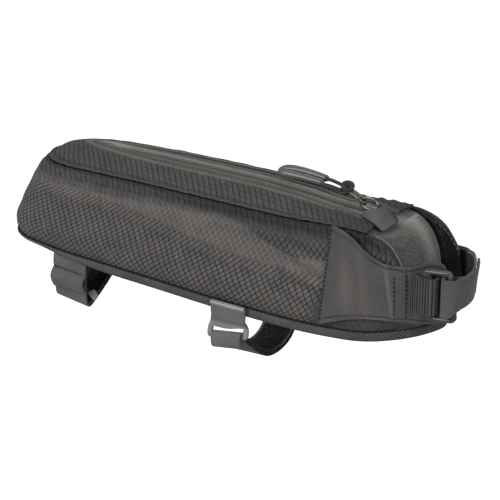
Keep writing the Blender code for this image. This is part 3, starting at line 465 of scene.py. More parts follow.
def ripstop_finish():
    """Coated cloth with a diamond grid of thick dark threads, with highlights painted on the threads where the piece is
    marked with glint.
    """
    f = Finish("diamond_ripstop_cloth", 0.6, {"Specular IOR Level": 0.3})
    s, t = f.surface()
    wobble = (f.cloud(35.0) - 0.5) * 1.8
    rising = thread_lines(s + wobble, t, -48.0, 3.0, 0.36)
    falling = thread_lines(s + wobble, t, 56.0, 3.7, 0.36)
    steep = f.attribute("steep")
    flat = 1.0 - steep
    # Where the cloth turns over the seam, one set of threads runs across the bag and the other along it.
    x, y, _ = f.split(f.place())
    across = x * 1000.0 + y * 740.0
    rising = rising * flat + thread_lines(s, t + wobble, 9.0, 3.3, 0.28) * steep * 0.55
    falling = falling * flat + thread_lines(across + wobble * 1.3, t, 97.0, 4.0, 0.46) * steep * 0.95
    patch = f.cloud(110.0).ease(0.36, 0.56) * 0.16 + 0.84
    plain = 1.0 - f.attribute("plain")
    rising, falling = rising * plain, falling * plain
    weave = weave_of(s, t, 7.4, 7.4)
    tone = f.cloud(28.0) * 0.5 + f.cloud(140.0) * 0.5
    field = f.mottled(tone, warm(0.092), warm(0.147))
    field = f.blend(weave * 0.2, field, warm(0.070))
    # Where steep, on the top and just under the seam, the field is painted darker: painted shade.
    field = f.blend(steep * 0.55, field, warm(0.020))
    # The colour of the highlights painted on the threads, dimmer where steep.
    painted_highlight = f.blend(steep, warm(0.205), warm(0.15))
    cloth = f.blend(falling * 0.86, field, f.blend(f.attribute("glint") * patch, warm(0.006), painted_highlight))
    cloth = f.blend(rising * 0.86, cloth, f.blend(f.attribute("glint_high") * patch, warm(0.006), painted_highlight))
    f.paint_shaded(cloth)
    lines = rising.most(falling)
    f.gloss(0.62 - lines * 0.10 + tone * 0.08)
    f.relief(lines * 0.5 + weave * 0.15 + tone * 0.35, 0.00022, 0.9)
    return f.material


def wing_finish(name, dark=1.0):
    """Plain coated cloth with a fine square grid, with highlights painted along its folds."""
    f = Finish(name, 0.55, {"Specular IOR Level": 0.35})
    s, t = f.surface()
    lines = thread_lines(s, t, 90.0, 1.5, 0.26) * 0.55
    lines = lines.most(thread_lines(s, t, 0.0, 1.2, 0.30))
    weave = weave_of(s, t, 12.0, 12.0)
    tone = f.cloud(32.0) * 0.6 + f.cloud(160.0) * 0.4
    field = f.mottled(tone, warm(0.080 * dark), warm(0.112 * dark))
    # Highlights painted along the folds, where the piece is marked.
    field = f.blend(f.attribute("painted_highlight") * 0.8, field, warm(0.21 * dark))
    cloth = f.blend(lines * 0.5, field, warm(0.034 * dark))
    f.paint_shaded(cloth)
    f.gloss(0.55 - lines * 0.1 + tone * 0.1)
    f.relief(lines * 0.5 + weave * 0.3 + tone * 0.2, 0.00016, 0.8)
    return f.material


def twill_finish(name, low, high, pitch=1.5, angle=52.0, rough=0.8):
    """Woven tape with slanting ribs."""
    f = Finish(name, rough)
    s, t = f.surface()
    ribs = thread_lines(s, t, angle, pitch, pitch * 0.34)
    cross = weave_of(s, t, 8.5, 5.0)
    fuzz = f.cloud(420.0, 2.0)
    tone = f.cloud(40.0)
    base = f.mottled(tone, low, high)
    base = f.blend(ribs * 0.75, base, warm(0.018))
    f.paint_shaded(f.blend(fuzz.ease(0.5, 0.8) * 0.4, base, high))
    f.relief(1.0 - ribs * 0.7 + cross * 0.2 + fuzz * 0.3, 0.00025, 0.8)
    return f.material


def strap_finish(name, low, high, grain=0.5, rough=0.62):
    """Strap face with fine ribs across it and a soft sheen."""
    f = Finish(name, rough, {"Sheen Weight": 0.1, "Specular IOR Level": 0.35})
    s, t = f.surface()
    fine = (s * (2 * pi / grain)).wave() * 0.5 + 0.5
    long = (t * (2 * pi / 0.8)).wave() * 0.5 + 0.5
    grain_noise = f.cloud(600.0, 2.0)
    tone = f.cloud(45.0)
    base = f.mottled(tone, low, high)
    base = f.blend(fine * long * 0.45, base, warm(0.025))
    f.paint_shaded(f.blend(grain_noise.ease(0.45, 0.75) * 0.35, base, high))
    f.relief(fine * 0.5 + long * 0.3 + grain_noise * 0.6, 0.00018, 0.8)
    return f.material


def hook_face_finish():
    """The black hook side of the strap: a bed of tiny hooks."""
    f = Finish("hook_face", 0.85, {"Specular IOR Level": 0.15})
    s, t = f.surface()
    beads = weave_of(s, t, 6.2, 6.2)
    fuzz = f.cloud(700.0, 2.0)
    bed = f.blend(fuzz.ease(0.4, 0.75), (0.020, 0.019, 0.018), (0.080, 0.076, 0.070))
    f.paint(f.blend(f.attribute("edge"), bed, (0.30, 0.295, 0.275)))
    f.relief(beads * 0.8 + fuzz * 0.5, 0.0005, 1.0)
    return f.material


def film_finish():
    """Satin coated film, drawn in fine lines along its length."""
    low, high, rough = (0.046, 0.047, 0.040), (0.074, 0.075, 0.066), 0.30
    f = Finish("zip_film", rough, {"Coat Weight": 0.2, "Coat Roughness": 0.22})
    s, t = f.surface()
    drawn = f.cloud(1.0, 2.0, f.node("ShaderNodeCombineXYZ", {}, {0: s * 0.05, 1: t * 2.2, 2: 0.0}))
    grain = f.cloud(900.0, 2.0)
    # A highlight is painted along the lip and the welt.
    satin = f.blend(f.attribute("ridge_highlight"), f.blend(drawn.ease(0.35, 0.65), low, high), (0.17, 0.172, 0.155))
    f.paint_shaded(satin, (0.012, 0.012, 0.011))
    f.gloss(rough + grain * 0.1 + drawn * 0.06)
    f.relief(drawn * 0.6 + grain * 0.3, 0.00008, 0.7)
    return f.material


def hood_finish():
    f = Finish("hood_rubber", 0.5)
    grain = f.cloud(1200.0, 2.0)
    tone = f.cloud(60.0)
    cover = f.mottled(tone, (0.056, 0.055, 0.052), (0.080, 0.079, 0.075))
    f.paint_shaded(cover, 0.012)
    f.relief(grain, 0.00006, 0.8)
    return f.material


def brushed_finish():
    """Brushed cloth of the padded wall, light grey and mottled."""
    f = Finish("brushed_cloth", 0.85, {"Sheen Weight": 0.35, "Sheen Roughness": 0.4, "Specular IOR Level": 0.2})
    mottle = f.cloud(900.0, 3.0)
    tone = f.cloud(45.0, 4.0)
    base = f.blend(tone.ease(0.3, 0.72), (0.052, 0.052, 0.049), (0.088, 0.088, 0.083))
    # A highlight is painted along the pad's ridge.
    base = f.blend(f.attribute("ridge_highlight") * 0.75, base, (0.225, 0.221, 0.208))
    tips = f.blend(f.attribute("ridge_highlight"), (0.15, 0.15, 0.142), (0.33, 0.325, 0.305))
    speck = f.blend(mottle.ease(0.35, 0.7) * 0.6, base, tips)
    f.paint_shaded(speck, 0.008)
    f.relief(mottle * 0.7 + tone * 0.3, 0.00030, 0.8)
    return f.material


def moulded_finish(name, low, high, rough, painted_shade_heights=None):
    """Moulded plastic with a fine grain. Shade is painted on between the two heights given, in metres."""
    f = Finish(name, rough)
    grain = f.cloud(1500.0, 2.0)
    tone = f.cloud(70.0)
    face = f.mottled(tone, low, high)
    if painted_shade_heights:
        # Painted shade over the band between the two heights.
        height = f.split(f.place())[2]
        over = height.ease(painted_shade_heights[0], painted_shade_heights[0] + 2.5 * MM) * (1.0 - height.ease(painted_shade_heights[1] - 1.5 * MM, painted_shade_heights[1]))
        face = f.blend(over * 0.62, face, (0.060, 0.063, 0.068))
    f.paint(face)
    f.gloss(rough - 0.04 + tone * 0.1)
    f.relief(grain, 0.00004, 0.7)
    return f.material


def gunmetal_finish():
    f = Finish("gunmetal_plate", 0.3, {"Metallic": 1.0})
    tone = f.cloud(300.0, 3.0)
    f.paint(f.blend(tone.ease(0.3, 0.75), (0.11, 0.106, 0.10), (0.27, 0.262, 0.246)))
    f.gloss(0.24 + tone * 0.22)
    f.relief(tone, 0.00005, 0.6)
    return f.material


def braid_finish():
    """Braided cord: two crossing sets of strands."""
    f = Finish("braided_cord", 0.8)
    s, t = f.surface()
    a = thread_lines(s, t, 45.0, 0.75, 0.30)
    b = thread_lines(s, t, -45.0, 0.75, 0.30)
    f.paint(f.blend(a.most(b), warm(0.10), warm(0.028)))
    f.relief(1.0 - a.most(b), 0.00022, 0.9)
    return f.material


def stitch_finish(name, value):
    f = Finish(name, 0.7)
    twist = f.cloud(1800.0, 1.0)
    f.paint(f.blend(twist.ease(0.3, 0.7), warm(value * 0.7), warm(value)))
    f.relief(twist, 0.00008, 0.8)
    return f.material


# Building tools


def clear_selection():
    bpy.ops.object.select_all(action="DESELECT")


def pick(piece):
    """Makes a piece the active one and the only one that is selected."""
    clear_selection()
    piece.select_set(True)
    bpy.context.view_layer.objects.active = piece


def apply_modifier(piece, name):
    pick(piece)
    bpy.ops.object.modifier_apply(modifier=name)


def close_seams(piece):
    """Merges the columns or rows of a grid that meet, and turns its faces outwards."""
    pick(piece)
    bpy.ops.object.mode_set(mode="EDIT")
    bpy.ops.mesh.select_all(action="SELECT")
    bpy.ops.mesh.remove_doubles(threshold=1e-6)
    bpy.ops.mesh.normals_make_consistent(inside=False)
    bpy.ops.object.mode_set(mode="OBJECT")


def drawn_out(points, move):
    """A solid: a filled outline through the points, drawn out by a move."""
    clear_selection()
    bpy.ops.mesh.primitive_circle_add(vertices=len(points), fill_type="NGON")
    piece = bpy.context.object
    for vert, p in zip(piece.data.vertices, points):
        vert.co = p
    bpy.ops.object.mode_set(mode="EDIT")
    bpy.ops.mesh.select_all(action="SELECT")
    bpy.ops.mesh.extrude_region_move(TRANSFORM_OT_translate={"value": move})
    bpy.ops.mesh.select_all(action="SELECT")
    bpy.ops.mesh.normals_make_consistent(inside=False)
    bpy.ops.object.mode_set(mode="OBJECT")
    return piece


def cut_away(piece, cutter):
    """Takes the cutter's shape out of a piece, and removes the cutter."""
    cut = piece.modifiers.new("cut", "BOOLEAN")
    cut.operation = "DIFFERENCE"
    cut.solver = "EXACT"
    cut.object = cutter
    apply_modifier(piece, "cut")
    bpy.data.objects.remove(cutter)


def grid_piece(name, columns, rows, place, marks=None, turned=False):
    """A grid laid over a surface. place(u, v) gives each point, and the map measures the surface in metres.
    marks are attributes as functions of u and v. turned faces it the other way."""
    clear_selection()
    bpy.ops.mesh.primitive_grid_add(x_subdivisions=columns, y_subdivisions=rows, size=2, calc_uvs=True)
    piece = bpy.context.object
    piece.name = piece.data.name = name
    mesh = piece.data
    shares = [((v.co.x + 1) / 2, (v.co.y + 1) / 2) for v in mesh.vertices]
    points = [place(u, v) for u, v in shares]
    for vert, p in zip(mesh.vertices, points):
        vert.co = p
    for key, rule in (marks or {}).items():
        values = mesh.attributes.new(key, "FLOAT", "POINT")
        values.data.foreach_set("value", [clamp(rule(u, v)) for u, v in shares])
    # Lengths along the middle row, and across every column
    cells = {(round(u * columns), round(v * rows)): p for (u, v), p in zip(shares, points)}
    middle = rows // 2
    along = [0.0]
    for i in range(columns):
        along.append(along[-1] + (cells[i + 1, middle] - cells[i, middle]).length)
    across = {}
    for i in range(columns + 1):
        across[i, 0] = 0.0
        for j in range(rows):
            across[i, j + 1] = across[i, j] + (cells[i, j + 1] - cells[i, j]).length
    layer = mesh.uv_layers.active
    layer.name = "UVMap"
    for loop in mesh.loops:
        u, v = shares[loop.vertex_index]
        i, j = round(u * columns), round(v * rows)
        layer.data[loop.index].uv = (along[i], across[i, j])
    if turned:
        mesh.flip_normals()
    return piece


def give_walls(piece, thickness, offset=-1.0, inner=0):
    """Gives a surface its thickness. inner is the slot of the material on its inside."""
    solid = piece.modifiers.new("walls", "SOLIDIFY")
    solid.thickness = thickness
    solid.offset = offset
    solid.use_even_offset = True
    solid.material_offset = inner
    apply_modifier(piece, "walls")


def round_edges(piece, width, segments=3, angle=40):
    """Rounds the edges that are sharper than the angle."""
    rim = piece.modifiers.new("rim", "BEVEL")
    rim.width = width
    rim.segments = segments
    rim.limit_method = "ANGLE"
    rim.angle_limit = radians(angle)
    rim.harden_normals = False
    apply_modifier(piece, "rim")


def smooth_shade(piece, angle=40):
    pick(piece)
    bpy.ops.object.shade_smooth_by_angle(angle=radians(angle))


def dress(piece, slot, materials, *nodes, angle=40):
    """Gives a finished piece its materials, its body and the solids that it stands for. Its slot is not used."""
    for material in materials:
        piece.data.materials.append(material)
    smooth_shade(piece, angle)
    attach(piece, "root")
    if nodes:
        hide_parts(*nodes)
    return piece


def spline(a, b, c, d, t):
    """The place at t from b to c, on a smooth curve through four places in a row."""
    return 0.5 * (2 * b + (c - a) * t + (2 * a - 5 * b + 4 * c - d) * t**2 + (3 * b - a - 3 * c + d) * t**3)


def smooth_path(points, steps):
    """Points spread evenly along a smooth curve through the points given."""
    points = [Vector(p) for p in points]
    ends = [points[0] * 2 - points[1], *points, points[-1] * 2 - points[-2]]
    fine = []
    for i in range(1, len(ends) - 2):
        fine += [spline(*ends[i - 1 : i + 3], k / 16) for k in range(16)]
    fine.append(points[-1])
    travelled = [0.0]
    for p, q in zip(fine, fine[1:]):
        travelled.append(travelled[-1] + (q - p).length)
    even, k = [], 0
    for i in range(steps + 1):
        target = travelled[-1] * i / steps
        while k < len(fine) - 2 and travelled[k + 1] < target:
            k += 1
        span = travelled[k + 1] - travelled[k]
        even.append(fine[k].lerp(fine[k + 1], (target - travelled[k]) / span if span else 0.0))
    return even


def arc(centre, radius, start, end, steps):
    """Points on an arc between two angles in degrees."""
    found = []
    for k in range(steps + 1):
        angle = radians(start + (end - start) * k / steps)
        found.append((centre[0] + radius * cos(angle), centre[1] + radius * sin(angle)))
    return found


def tube_piece(name, path, radii, sides=16):
    """A round bar along a path, closed at both ends."""
    frames = []
    for i, p in enumerate(path):
        along = (path[min(i + 1, len(path) - 1)] - path[max(i - 1, 0)]).normalized()
        side = along.cross(Vector((0, 1, 0)))
        side = side.normalized() if side.length > 1e-4 else Vector((1, 0, 0))
        frames.append((p, along, side, side.cross(along)))
    last = len(path) - 1
    caps = 4

    def place(u, v):
        k = round(u * (last + 2 * caps)) - caps
        i = min(max(k, 0), last)
        p, along, side, up = frames[i]
        shrink, shift = 1.0, 0.0
        if k < 0 or k > last:
            over = (-k if k < 0 else k - last) / caps
            shrink, shift = cos(over * pi / 2), sin(over * pi / 2) * radii[i] * (-1 if k < 0 else 1)
        angle = 2 * pi * v
        return p + along * shift * 0.8 + (side * cos(angle) + up * sin(angle)) * radii[i] * shrink

    piece = grid_piece(name, last + 2 * caps, sides, place)
    close_seams(piece)
    return piece


def cord_piece(name, points, steps, radius, sides, slot, material, *nodes):
    """A dressed cord of one thickness, along a smooth curve through the points."""
    cord = tube_piece(name, smooth_path(points, steps), [radius] * (steps + 1), sides)
    return dress(cord, slot, [material], *nodes, angle=80)


def stitch_row(name, spots, radius, length, material, slot):
    """A row of stitches: one small stitch, copied along the spots (place, along, out)."""
    clear_selection()
    bpy.ops.mesh.primitive_uv_sphere_add(segments=8, ring_count=6, radius=1.0)
    model = bpy.context.object
    verts = [v.co.copy() for v in model.data.vertices]
    faces = [tuple(p.vertices) for p in model.data.polygons]
    bpy.data.objects.remove(model)
    points, polygons = [], []
    for place, along, out in spots:
        along = along.normalized()
        side = out.cross(along).normalized()
        up = along.cross(side)
        start = len(points)
        for v in verts:
            bow = (1 - v.x * v.x) * radius * 0.5
            points.append(place + along * v.x * length / 2 + side * v.y * radius + up * (v.z * radius + bow))
        polygons += [tuple(start + k for k in face) for face in faces]
    mesh = bpy.data.meshes.new(name)
    mesh.from_pydata(points, [], polygons)
    piece = bpy.data.objects.new(name, mesh)
    bpy.context.scene.collection.objects.link(piece)
    return dress(piece, slot, [material], angle=60)


def run_spots(path, pitch, out):
    """Spots for stitches along a path. out is the direction in which they stand out, or a list with one for each
    point of the path."""
    outs = out if isinstance(out, list) else [out] * len(path)
    found, carried = [], pitch / 2
    for p, q, away in zip(path, path[1:], outs):
        step = (q - p).length
        while carried <= step:
            found.append((p.lerp(q, carried / step), q - p, away))
            carried += pitch
        carried -= step
    return found


# Camera, light and floor


def camera_and_light():
    """The photographer's camera, three softboxes, a grey room and the pale floor."""
    target = Vector((0.0, 0.0, 0.0296))
    azimuth, elevation, distance = radians(34), radians(22), 1.0
    offset = Vector((sin(azimuth) * cos(elevation), -cos(azimuth) * cos(elevation), sin(elevation)))
    data = bpy.data.cameras.new("camera")
    data.lens = 122.04
    data.sensor_width = 36.0
    data.sensor_fit = "HORIZONTAL"
    camera = bpy.data.objects.new("camera", data)
    camera.location = target + offset * distance
    camera.rotation_euler = (-offset).to_track_quat("-Z", "Y").to_euler()
    bpy.context.scene.collection.objects.link(camera)
    bpy.context.scene.camera = camera

    world = bpy.data.worlds.new("studio")
    world.use_nodes = True
    sky = world.node_tree.nodes["Background"]
    path = world.node_tree.nodes.new("ShaderNodeLightPath")
    tint = world.node_tree.nodes.new("ShaderNodeMix")
    tint.data_type = "RGBA"
    tint.inputs[6].default_value = (0.31, 0.3085, 0.3054, 1.0)
    tint.inputs[7].default_value = (1.0, 1.0, 1.0, 1.0)
    world.node_tree.links.new(path.outputs["Is Camera Ray"], tint.inputs[0])
    world.node_tree.links.new(tint.outputs[2], sky.inputs["Color"])
    bpy.context.scene.world = world
    bpy.context.scene.view_settings.view_transform = "Standard"

    # name, place, size, power: a softbox overhead, one in front on the left, one at the right end
    softboxes = (
        ("overhead_box", (-0.10, 0.45, 1.00), 0.9, 2.6),
        ("front_box", (-0.65, -1.10, 0.60), 0.8, 14.0),
        ("end_box", (1.00, -0.35, 0.60), 0.6, 6.0),
    )
    for name, place, size, power in softboxes:
        lamp = bpy.data.lights.new(name, "AREA")
        lamp.shape = "SQUARE"
        lamp.size = size
        lamp.energy = power
        made = bpy.data.objects.new(name, lamp)
        made.location = place
        made.rotation_euler = (Vector(place) - target).to_track_quat("Z", "Y").to_euler()
        bpy.context.scene.collection.objects.link(made)

    clear_selection()
    bpy.ops.mesh.primitive_plane_add(size=30, location=(0, 0, -0.42))
    floor = bpy.context.object
    floor.name = "floor"
    # The floor is white in the picture and throws little light back up.
    pale = Finish("pale_floor", 0.9, {"Emission Strength": 1.0, "Specular IOR Level": 0.0})
    pale.shader.inputs["Base Color"].default_value = (0.3, 0.3, 0.3, 1.0)
    seen = pale.node("ShaderNodeLightPath", output="Is Camera Ray")
    glow = pale.blend(seen, (0.10, 0.10, 0.10), (1.0, 1.0, 1.0))
    pale.tree.links.new(glow.socket, pale.shader.inputs["Emission Color"])
    floor.data.materials.append(pale.material)


# The bag's own pieces


def body_wall(cloth):
    """The wall's cloth, once round from the near front by the tail to the far front."""
    def band(u, up, raised):
        """The band of highlights painted on the threads, falling from under the seam at the tail to the middle of the
        front.
        """
        q = from_tail(u)
        low = 0.70 - 0.27 * ease(0.25, 0.75, q) + raised
        high = 0.88 - 0.22 * ease(0.64, 0.80, q)
        main = ease(low - 0.03, low + 0.02, up) * (1 - ease(high - 0.02, high + 0.01, up))
        return main * (0.8 + 0.2 * ease(0.15, 0.6, q)) * (1 - 0.08 * ease(0.68, 0.8, q))

    def glint(u, up):
        return band(u, up, 0.0)

    def glint_high(u, up):
        return band(u, up, 0.10)

    def steep(u, up):
        q = from_tail(u)
        return ease(0.82, 0.88, up + 0.05 * (1 - ease(0.3, 0.7, q)))

    def shade(u, up):
        q = from_tail(u)
        fold = 0.5 * hump(up, 0.93, 0.05) * ease(0.4, 0.6, q)
        hollow = 0.42 * hump(up, 0.82, 0.13) * ease(0.5, 0.72, q) * (1 - 0.8 * ease(0.86, 0.90, q))
        middle = 0.14 * ease(0.25, 0.4, q) * ease(0.35, 0.6, up)
        crease = 0.3 * hump(q, 0.775, 0.006) * ease(0.25, 0.45, up)
        foot = 0.9 * (1 - ease(0.006, 0.022, up))
        pocket = 0.40 * ease(0.83, 0.86, q) * (1 - ease(0.25, 0.45, up))
        far_edge = 0.85 * ease(0.985, 0.994, u)
        return max(0.9 * ease(0.982, 0.996, up), fold, foot, crease, pocket, hollow, middle, far_edge)

    def bare(u, up):
        """No threads show on the strip under the wing."""
        return 0.7 * ease(0.83, 0.86, from_tail(u)) * (1 - ease(0.15, 0.3, up))

    marks = {"glint": glint, "glint_high": glint_high, "shade": shade, "steep": steep, "plain": bare}
    wall = grid_piece("bag_wall", 420, 84, wall_point, marks, turned=True)
    give_walls(wall, 1.4 * MM)
    dress(wall, "diamond_ripstop", [cloth], "body_wall")
    # Dark stitches in the groove under the top's edge
    path, outs = [], []
    for k in range(701):
        u = k / 700
        away_x, away_y = outline(from_tail(u), 0, 1, 2)[2]
        path.append(wall_point(u, 0.982, 0.0002))
        outs.append(Vector((away_x, -away_y if u < 0.5 else away_y, 0.3)))
    stitch_row("top_seam_stitches", run_spots(path, 0.0032, outs), 0.00034, 0.0027, DARK_STITCH, "diamond_ripstop")


def top_panel(cloth):
    """The top's cloth, from the seam up to the zip on both sides."""
    def glint(u, v):
        return 0.9 * hump(v, 0.88, 0.08) + 0.5 * hump(v, 0.05, 0.03)

    def steep(u, v):
        return 1 - ease(0.74, 0.84, v)

    def shade(u, v):
        far_front = 0.30 * ease(0.5, 0.51, u) * ease(0.90, 0.95, from_tail(u))
        near_front = 0.35 * ease(0.80, 0.97, (0.5 - u) * 2)
        seam = max(0.95 * (1 - ease(0.0, 0.02, v)), 0.25 * hump(v, 0.04, 0.03), 0.45 * hump(v, 0.12, 0.04))
        return max(seam, 0.8 * ease(0.985, 1.0, v), far_front, near_front)

    marks = {"glint": glint, "glint_high": glint, "shade": shade, "steep": steep}
    panel = grid_piece("top_cloth", 400, 48, top_point, marks, turned=True)
    give_walls(panel, 1.2 * MM)
    dress(panel, "diamond_ripstop", [cloth], "top_panel")


def zip_film(name, side, film, node):
    """One half of the zip's film: flat beside the cloth, with a raised lip beside the slit. Highlights are painted
    along the lip and a welt.
    """
    start, end = at(ZIP_START) + 0.0045, front_x(1.0) + 0.001

    def from_slit(v):
        return v if side > 0 else 1 - v

    def place(u, v):
        x = start + (end - start) * u**1.25
        share = from_slit(v)
        outer = zip_half_width(x) + 0.0002
        y = zip_mid_y(x) + side * (GAP / 2 + (outer - GAP / 2) * share)
        z = zip_edge_z(x) + (crest_z(x) - zip_edge_z(x)) * (1 - share**2)
        lip = 1.3 * MM * hump(share, 0.16, 0.11) - 0.9 * MM * hump(share, 0.0, 0.06)
        welt = 0.55 * MM * hump(share, 0.62, 0.12) - 0.45 * MM * hump(share, 0.40, 0.08)
        welt -= 0.6 * MM * hump(share, 0.90, 0.07)
        return Vector((x, y, z + (lip + welt) * ease(0.0, 0.10, u) - 0.25 * MM - far_dip(x, y)))

    def shade(u, v):
        share = from_slit(v)
        rims = max(0.95 * (1 - ease(0.0, 0.07, share)), 0.8 * ease(0.95, 1.0, share))
        return max(rims, 0.45 * hump(share, 0.40, 0.08), 0.4 * hump(share, 0.9, 0.06))

    # Painted highlights along the lip beside the slit and along the welt.
    def ridge_highlight(u, v):
        share = from_slit(v)
        return 0.7 * hump(share, 0.20, 0.05) + 0.35 * hump(share, 0.64, 0.05)

    piece = grid_piece(name, 300, 28, place, {"shade": shade, "ridge_highlight": ridge_highlight})
    give_walls(piece, 0.8 * MM)
    dress(piece, "coated_film", [film], node)


EDGE_STEPS = 180
EDGE_TAIL_SHARE = 0.2
EDGE_FRONT_SHARE = 0.7


def floor_side():
    """One side of the floor's edge from the tail's tip to the front tip, as (point, outward direction)."""
    tail, nose_start = at(FLOOR_TAIL), at(1.0) - FRONT_NOSE
    half = []
    for k in range(EDGE_STEPS + 1):
        q = k / EDGE_STEPS
        width = 1.0
        if q < EDGE_TAIL_SHARE:
            angle = pi / 2 * q / EDGE_TAIL_SHARE
            x, width = tail + FLOOR_TAIL_NOSE * (1 - cos(angle)), sin(angle)
        elif q < EDGE_FRONT_SHARE:
            start = tail + FLOOR_TAIL_NOSE
            x = start + (nose_start - start) * (q - EDGE_TAIL_SHARE) / (EDGE_FRONT_SHARE - EDGE_TAIL_SHARE)
        else:
            x = nose_start + FRONT_NOSE * sin(pi / 2 * (q - EDGE_FRONT_SHARE) / (1 - EDGE_FRONT_SHARE))
        half.append(Vector((x, width * floor_half(x), 0)))
    half[-1].y = 0.0
    found = []
    for i, p in enumerate(half):
        along = half[min(i + 1, EDGE_STEPS)] - half[max(i - 1, 0)]
        if i in (0, EDGE_STEPS):
            along = Vector((0, 1 if i == 0 else -1, 0))
        found.append((Vector((p.x, p.y, floor_z(p.x))), Vector((-along.y, along.x, 0)).normalized()))
    return found


FLOOR_SIDE = floor_side()


def floor_edge(u):
    """(point, outward direction) on the floor's edge, once round from the front tip by the near side."""
    i = round(u * 2 * EDGE_STEPS) - EDGE_STEPS
    side = 1 if i > 0 else -1
    p, out = FLOOR_SIDE[abs(i)]
    return Vector((p.x, side * p.y, p.z)), Vector((out.x, side * out.y, 0))


# The tape's section, as (out, up)
BINDING_SECTION = (
    (-0.7, 0.0),
    (-0.2, -0.02),
    (0.35, 0.03),
    (0.70, 0.16),
    (0.95, 0.36),
    (1.0, 0.55),
    (0.92, 0.76),
    (0.60, 0.93),
    (0.05, 1.0),
    (-0.7, 0.98),
)


def base_binding(tape):
    """The woven tape round the floor's edge, swollen, with a hem under the wall."""
    def place(u, v):
        k = v * (len(BINDING_SECTION) - 1)
        i = min(int(k), len(BINDING_SECTION) - 2)
        (out, up), (next_out, next_up) = BINDING_SECTION[i : i + 2]
        out, up = out + (next_out - out) * (k - i), up + (next_up - up) * (k - i)
        p, normal = floor_edge(u)
        ripple = 0.12 * MM * sin(u * 900) * (1 if 0.2 < v < 0.9 else 0)
        return p + normal * (0.0004 + out * 0.0010 + ripple) + Vector((0, 0, up * (floor_thick(p.x) - GAP * 0.5)))

    piece = grid_piece("floor_binding", 360, 27, place, {"shade": lambda u, v: 0.85 * ease(0.86, 0.95, v)})
    close_seams(piece)
    give_walls(piece, 0.8 * MM)
    dress(piece, "webbing", [tape], "base_binding")
    # Dark stitches in the groove over the tape
    path, outs = [], []
    for k in range(361):
        p, out = floor_edge(k / 360)
        path.append(p + Vector((0, 0, floor_thick(p.x) + 0.0003)) + out * 0.0008)
        outs.append(out)
    stitch_row("binding_stitches", run_spots(path, 0.0034, outs), 0.00032, 0.0026, DARK_STITCH, "webbing")


PLATE_INSET = 0.0006


def base_plate(cloth):
    """The floor's underside and top, lined with plain cloth."""
    def place(u, v):
        # v runs over the underside from side to side, then closes over the top
        tail = at(FLOOR_TAIL)
        x = tail + PLATE_INSET + (at(1.0) - tail - 2 * PLATE_INSET) * (1 - cos(pi * u)) / 2
        nose = clamp((x - tail) / FLOOR_TAIL_NOSE)
        half = max(floor_half(x) * (1 - (1 - nose) ** 2) ** 0.5 - PLATE_INSET, 0.00005)
        loop = v * 2
        top = loop > 1
        share = (loop - 1) * 2 - 1 if top else loop * 2 - 1
        y = half * (-share if top else share)
        z = floor_z(x) + (floor_thick(x) - 0.0002 if top else 0.0001)
        quilt = 0.0 if top else -0.25 * MM * (1 - abs(share) ** 6)
        return Vector((x, y, z + quilt))

    piece = grid_piece("floor_pad", 160, 40, place, {"shade": lambda u, v: 0.0})
    close_seams(piece)
    dress(piece, "webbing", [cloth], "base_plate")


def front_pad(brushed):
    """The padded front wall, swollen between its edges."""
    rows = []
    for row in PAD_ROWS:
        x = front_x(row.up) - PAD_TUCK
        low, high = wall_low_z(x), seam_z(x) - 0.0015
        inset = 0.0021 + 0.0013 * (1 - row.up) ** 6
        y = wall_half(x, row.up) + SIDE_BULGE * level("bulge", row.up) - inset
        rows.append((x, y, low + (high - low) * row.up, at(row.along), SIDE_HEIGHT * row.above, row.knuckle, row.up))
    x = front_x(1.0) - PAD_TUCK
    y = seam_half(x) - 0.0032

    def place(u, v):
        angle = pi * (u - 0.5)
        lead = max(cos(angle), 0.0) ** (1.0 + 1.6 * ease(0.5, 0.62, u))
        k = v * len(rows)
        i = min(int(k), len(rows) - 1)
        found = []
        for j in (i - 1, i, i + 1, i + 2):
            j = min(max(j, 0), len(rows))
            if j == len(rows):
                py = y * sin(angle)
                found.append(Vector((x, py, top_z(x, py) - 0.0021)))
                continue
            rx, ry, rz, mx, mz, knuckle, up = rows[j]
            lift = SIDE_HEIGHT * knuckle * max(sin(angle + 0.3), 0.0) * lead * 1.6
            low = far_dip(rx, ry * sin(angle)) * up**3
            found.append(Vector((rx + (mx - rx) * lead**0.8, ry * sin(angle), rz + (mz - rz) * lead**1.1 + lift - low)))
        p = spline(*found, k - i)
        swell = 0.8 * MM * lead**0.5 * sin(pi * min(v * 1.15, 1.0))
        wrinkle = 0.5 * MM * noise.noise(Vector((u * 5, v * 4, 0.3))) * lead
        crease = -0.7 * MM * hump(v, 0.83, 0.03) * ease(0.15, 0.3, u) * (1 - ease(0.55, 0.7, u))
        return p + Vector((1, 0, 0.3)) * (swell + wrinkle + crease)

    def shade(u, v):
        edge = min(u, 1 - u)
        return max(0.75 * (1 - ease(0.0, 0.03, edge)), 0.5 * ease(0.95, 1.0, v), 0.55 * ease(0.60, 0.72, u))

    # Painted highlight along the pad's ridge.
    def ridge_highlight(u, v):
        return hump(u, 0.545, 0.07) * ease(0.15, 0.7, v)

    pad = grid_piece("front_padding", 110, 110, place, {"shade": shade, "ridge_highlight": ridge_highlight})
    give_walls(pad, 2.4 * MM)
    dress(pad, "brushed_pad", [brushed], "front_pad")
    # A dark cord and a pale binding line run down the pad's near edge.
    cord = [wall_point(0.0, 0.25 + 0.74 * k / 40, 0.0004) + Vector((0.0006, 0.0010, 0)) for k in range(41)]
    line = [p + Vector((0.0013, 0.0010, 0.0002)) for p in cord]
    cord_piece("pad_cord", cord, 80, 0.0008, 12, "brushed_pad", DARK_STITCH)
    cord_piece("pad_binding", line, 80, 0.00055, 12, "brushed_pad", PALE_STITCH)


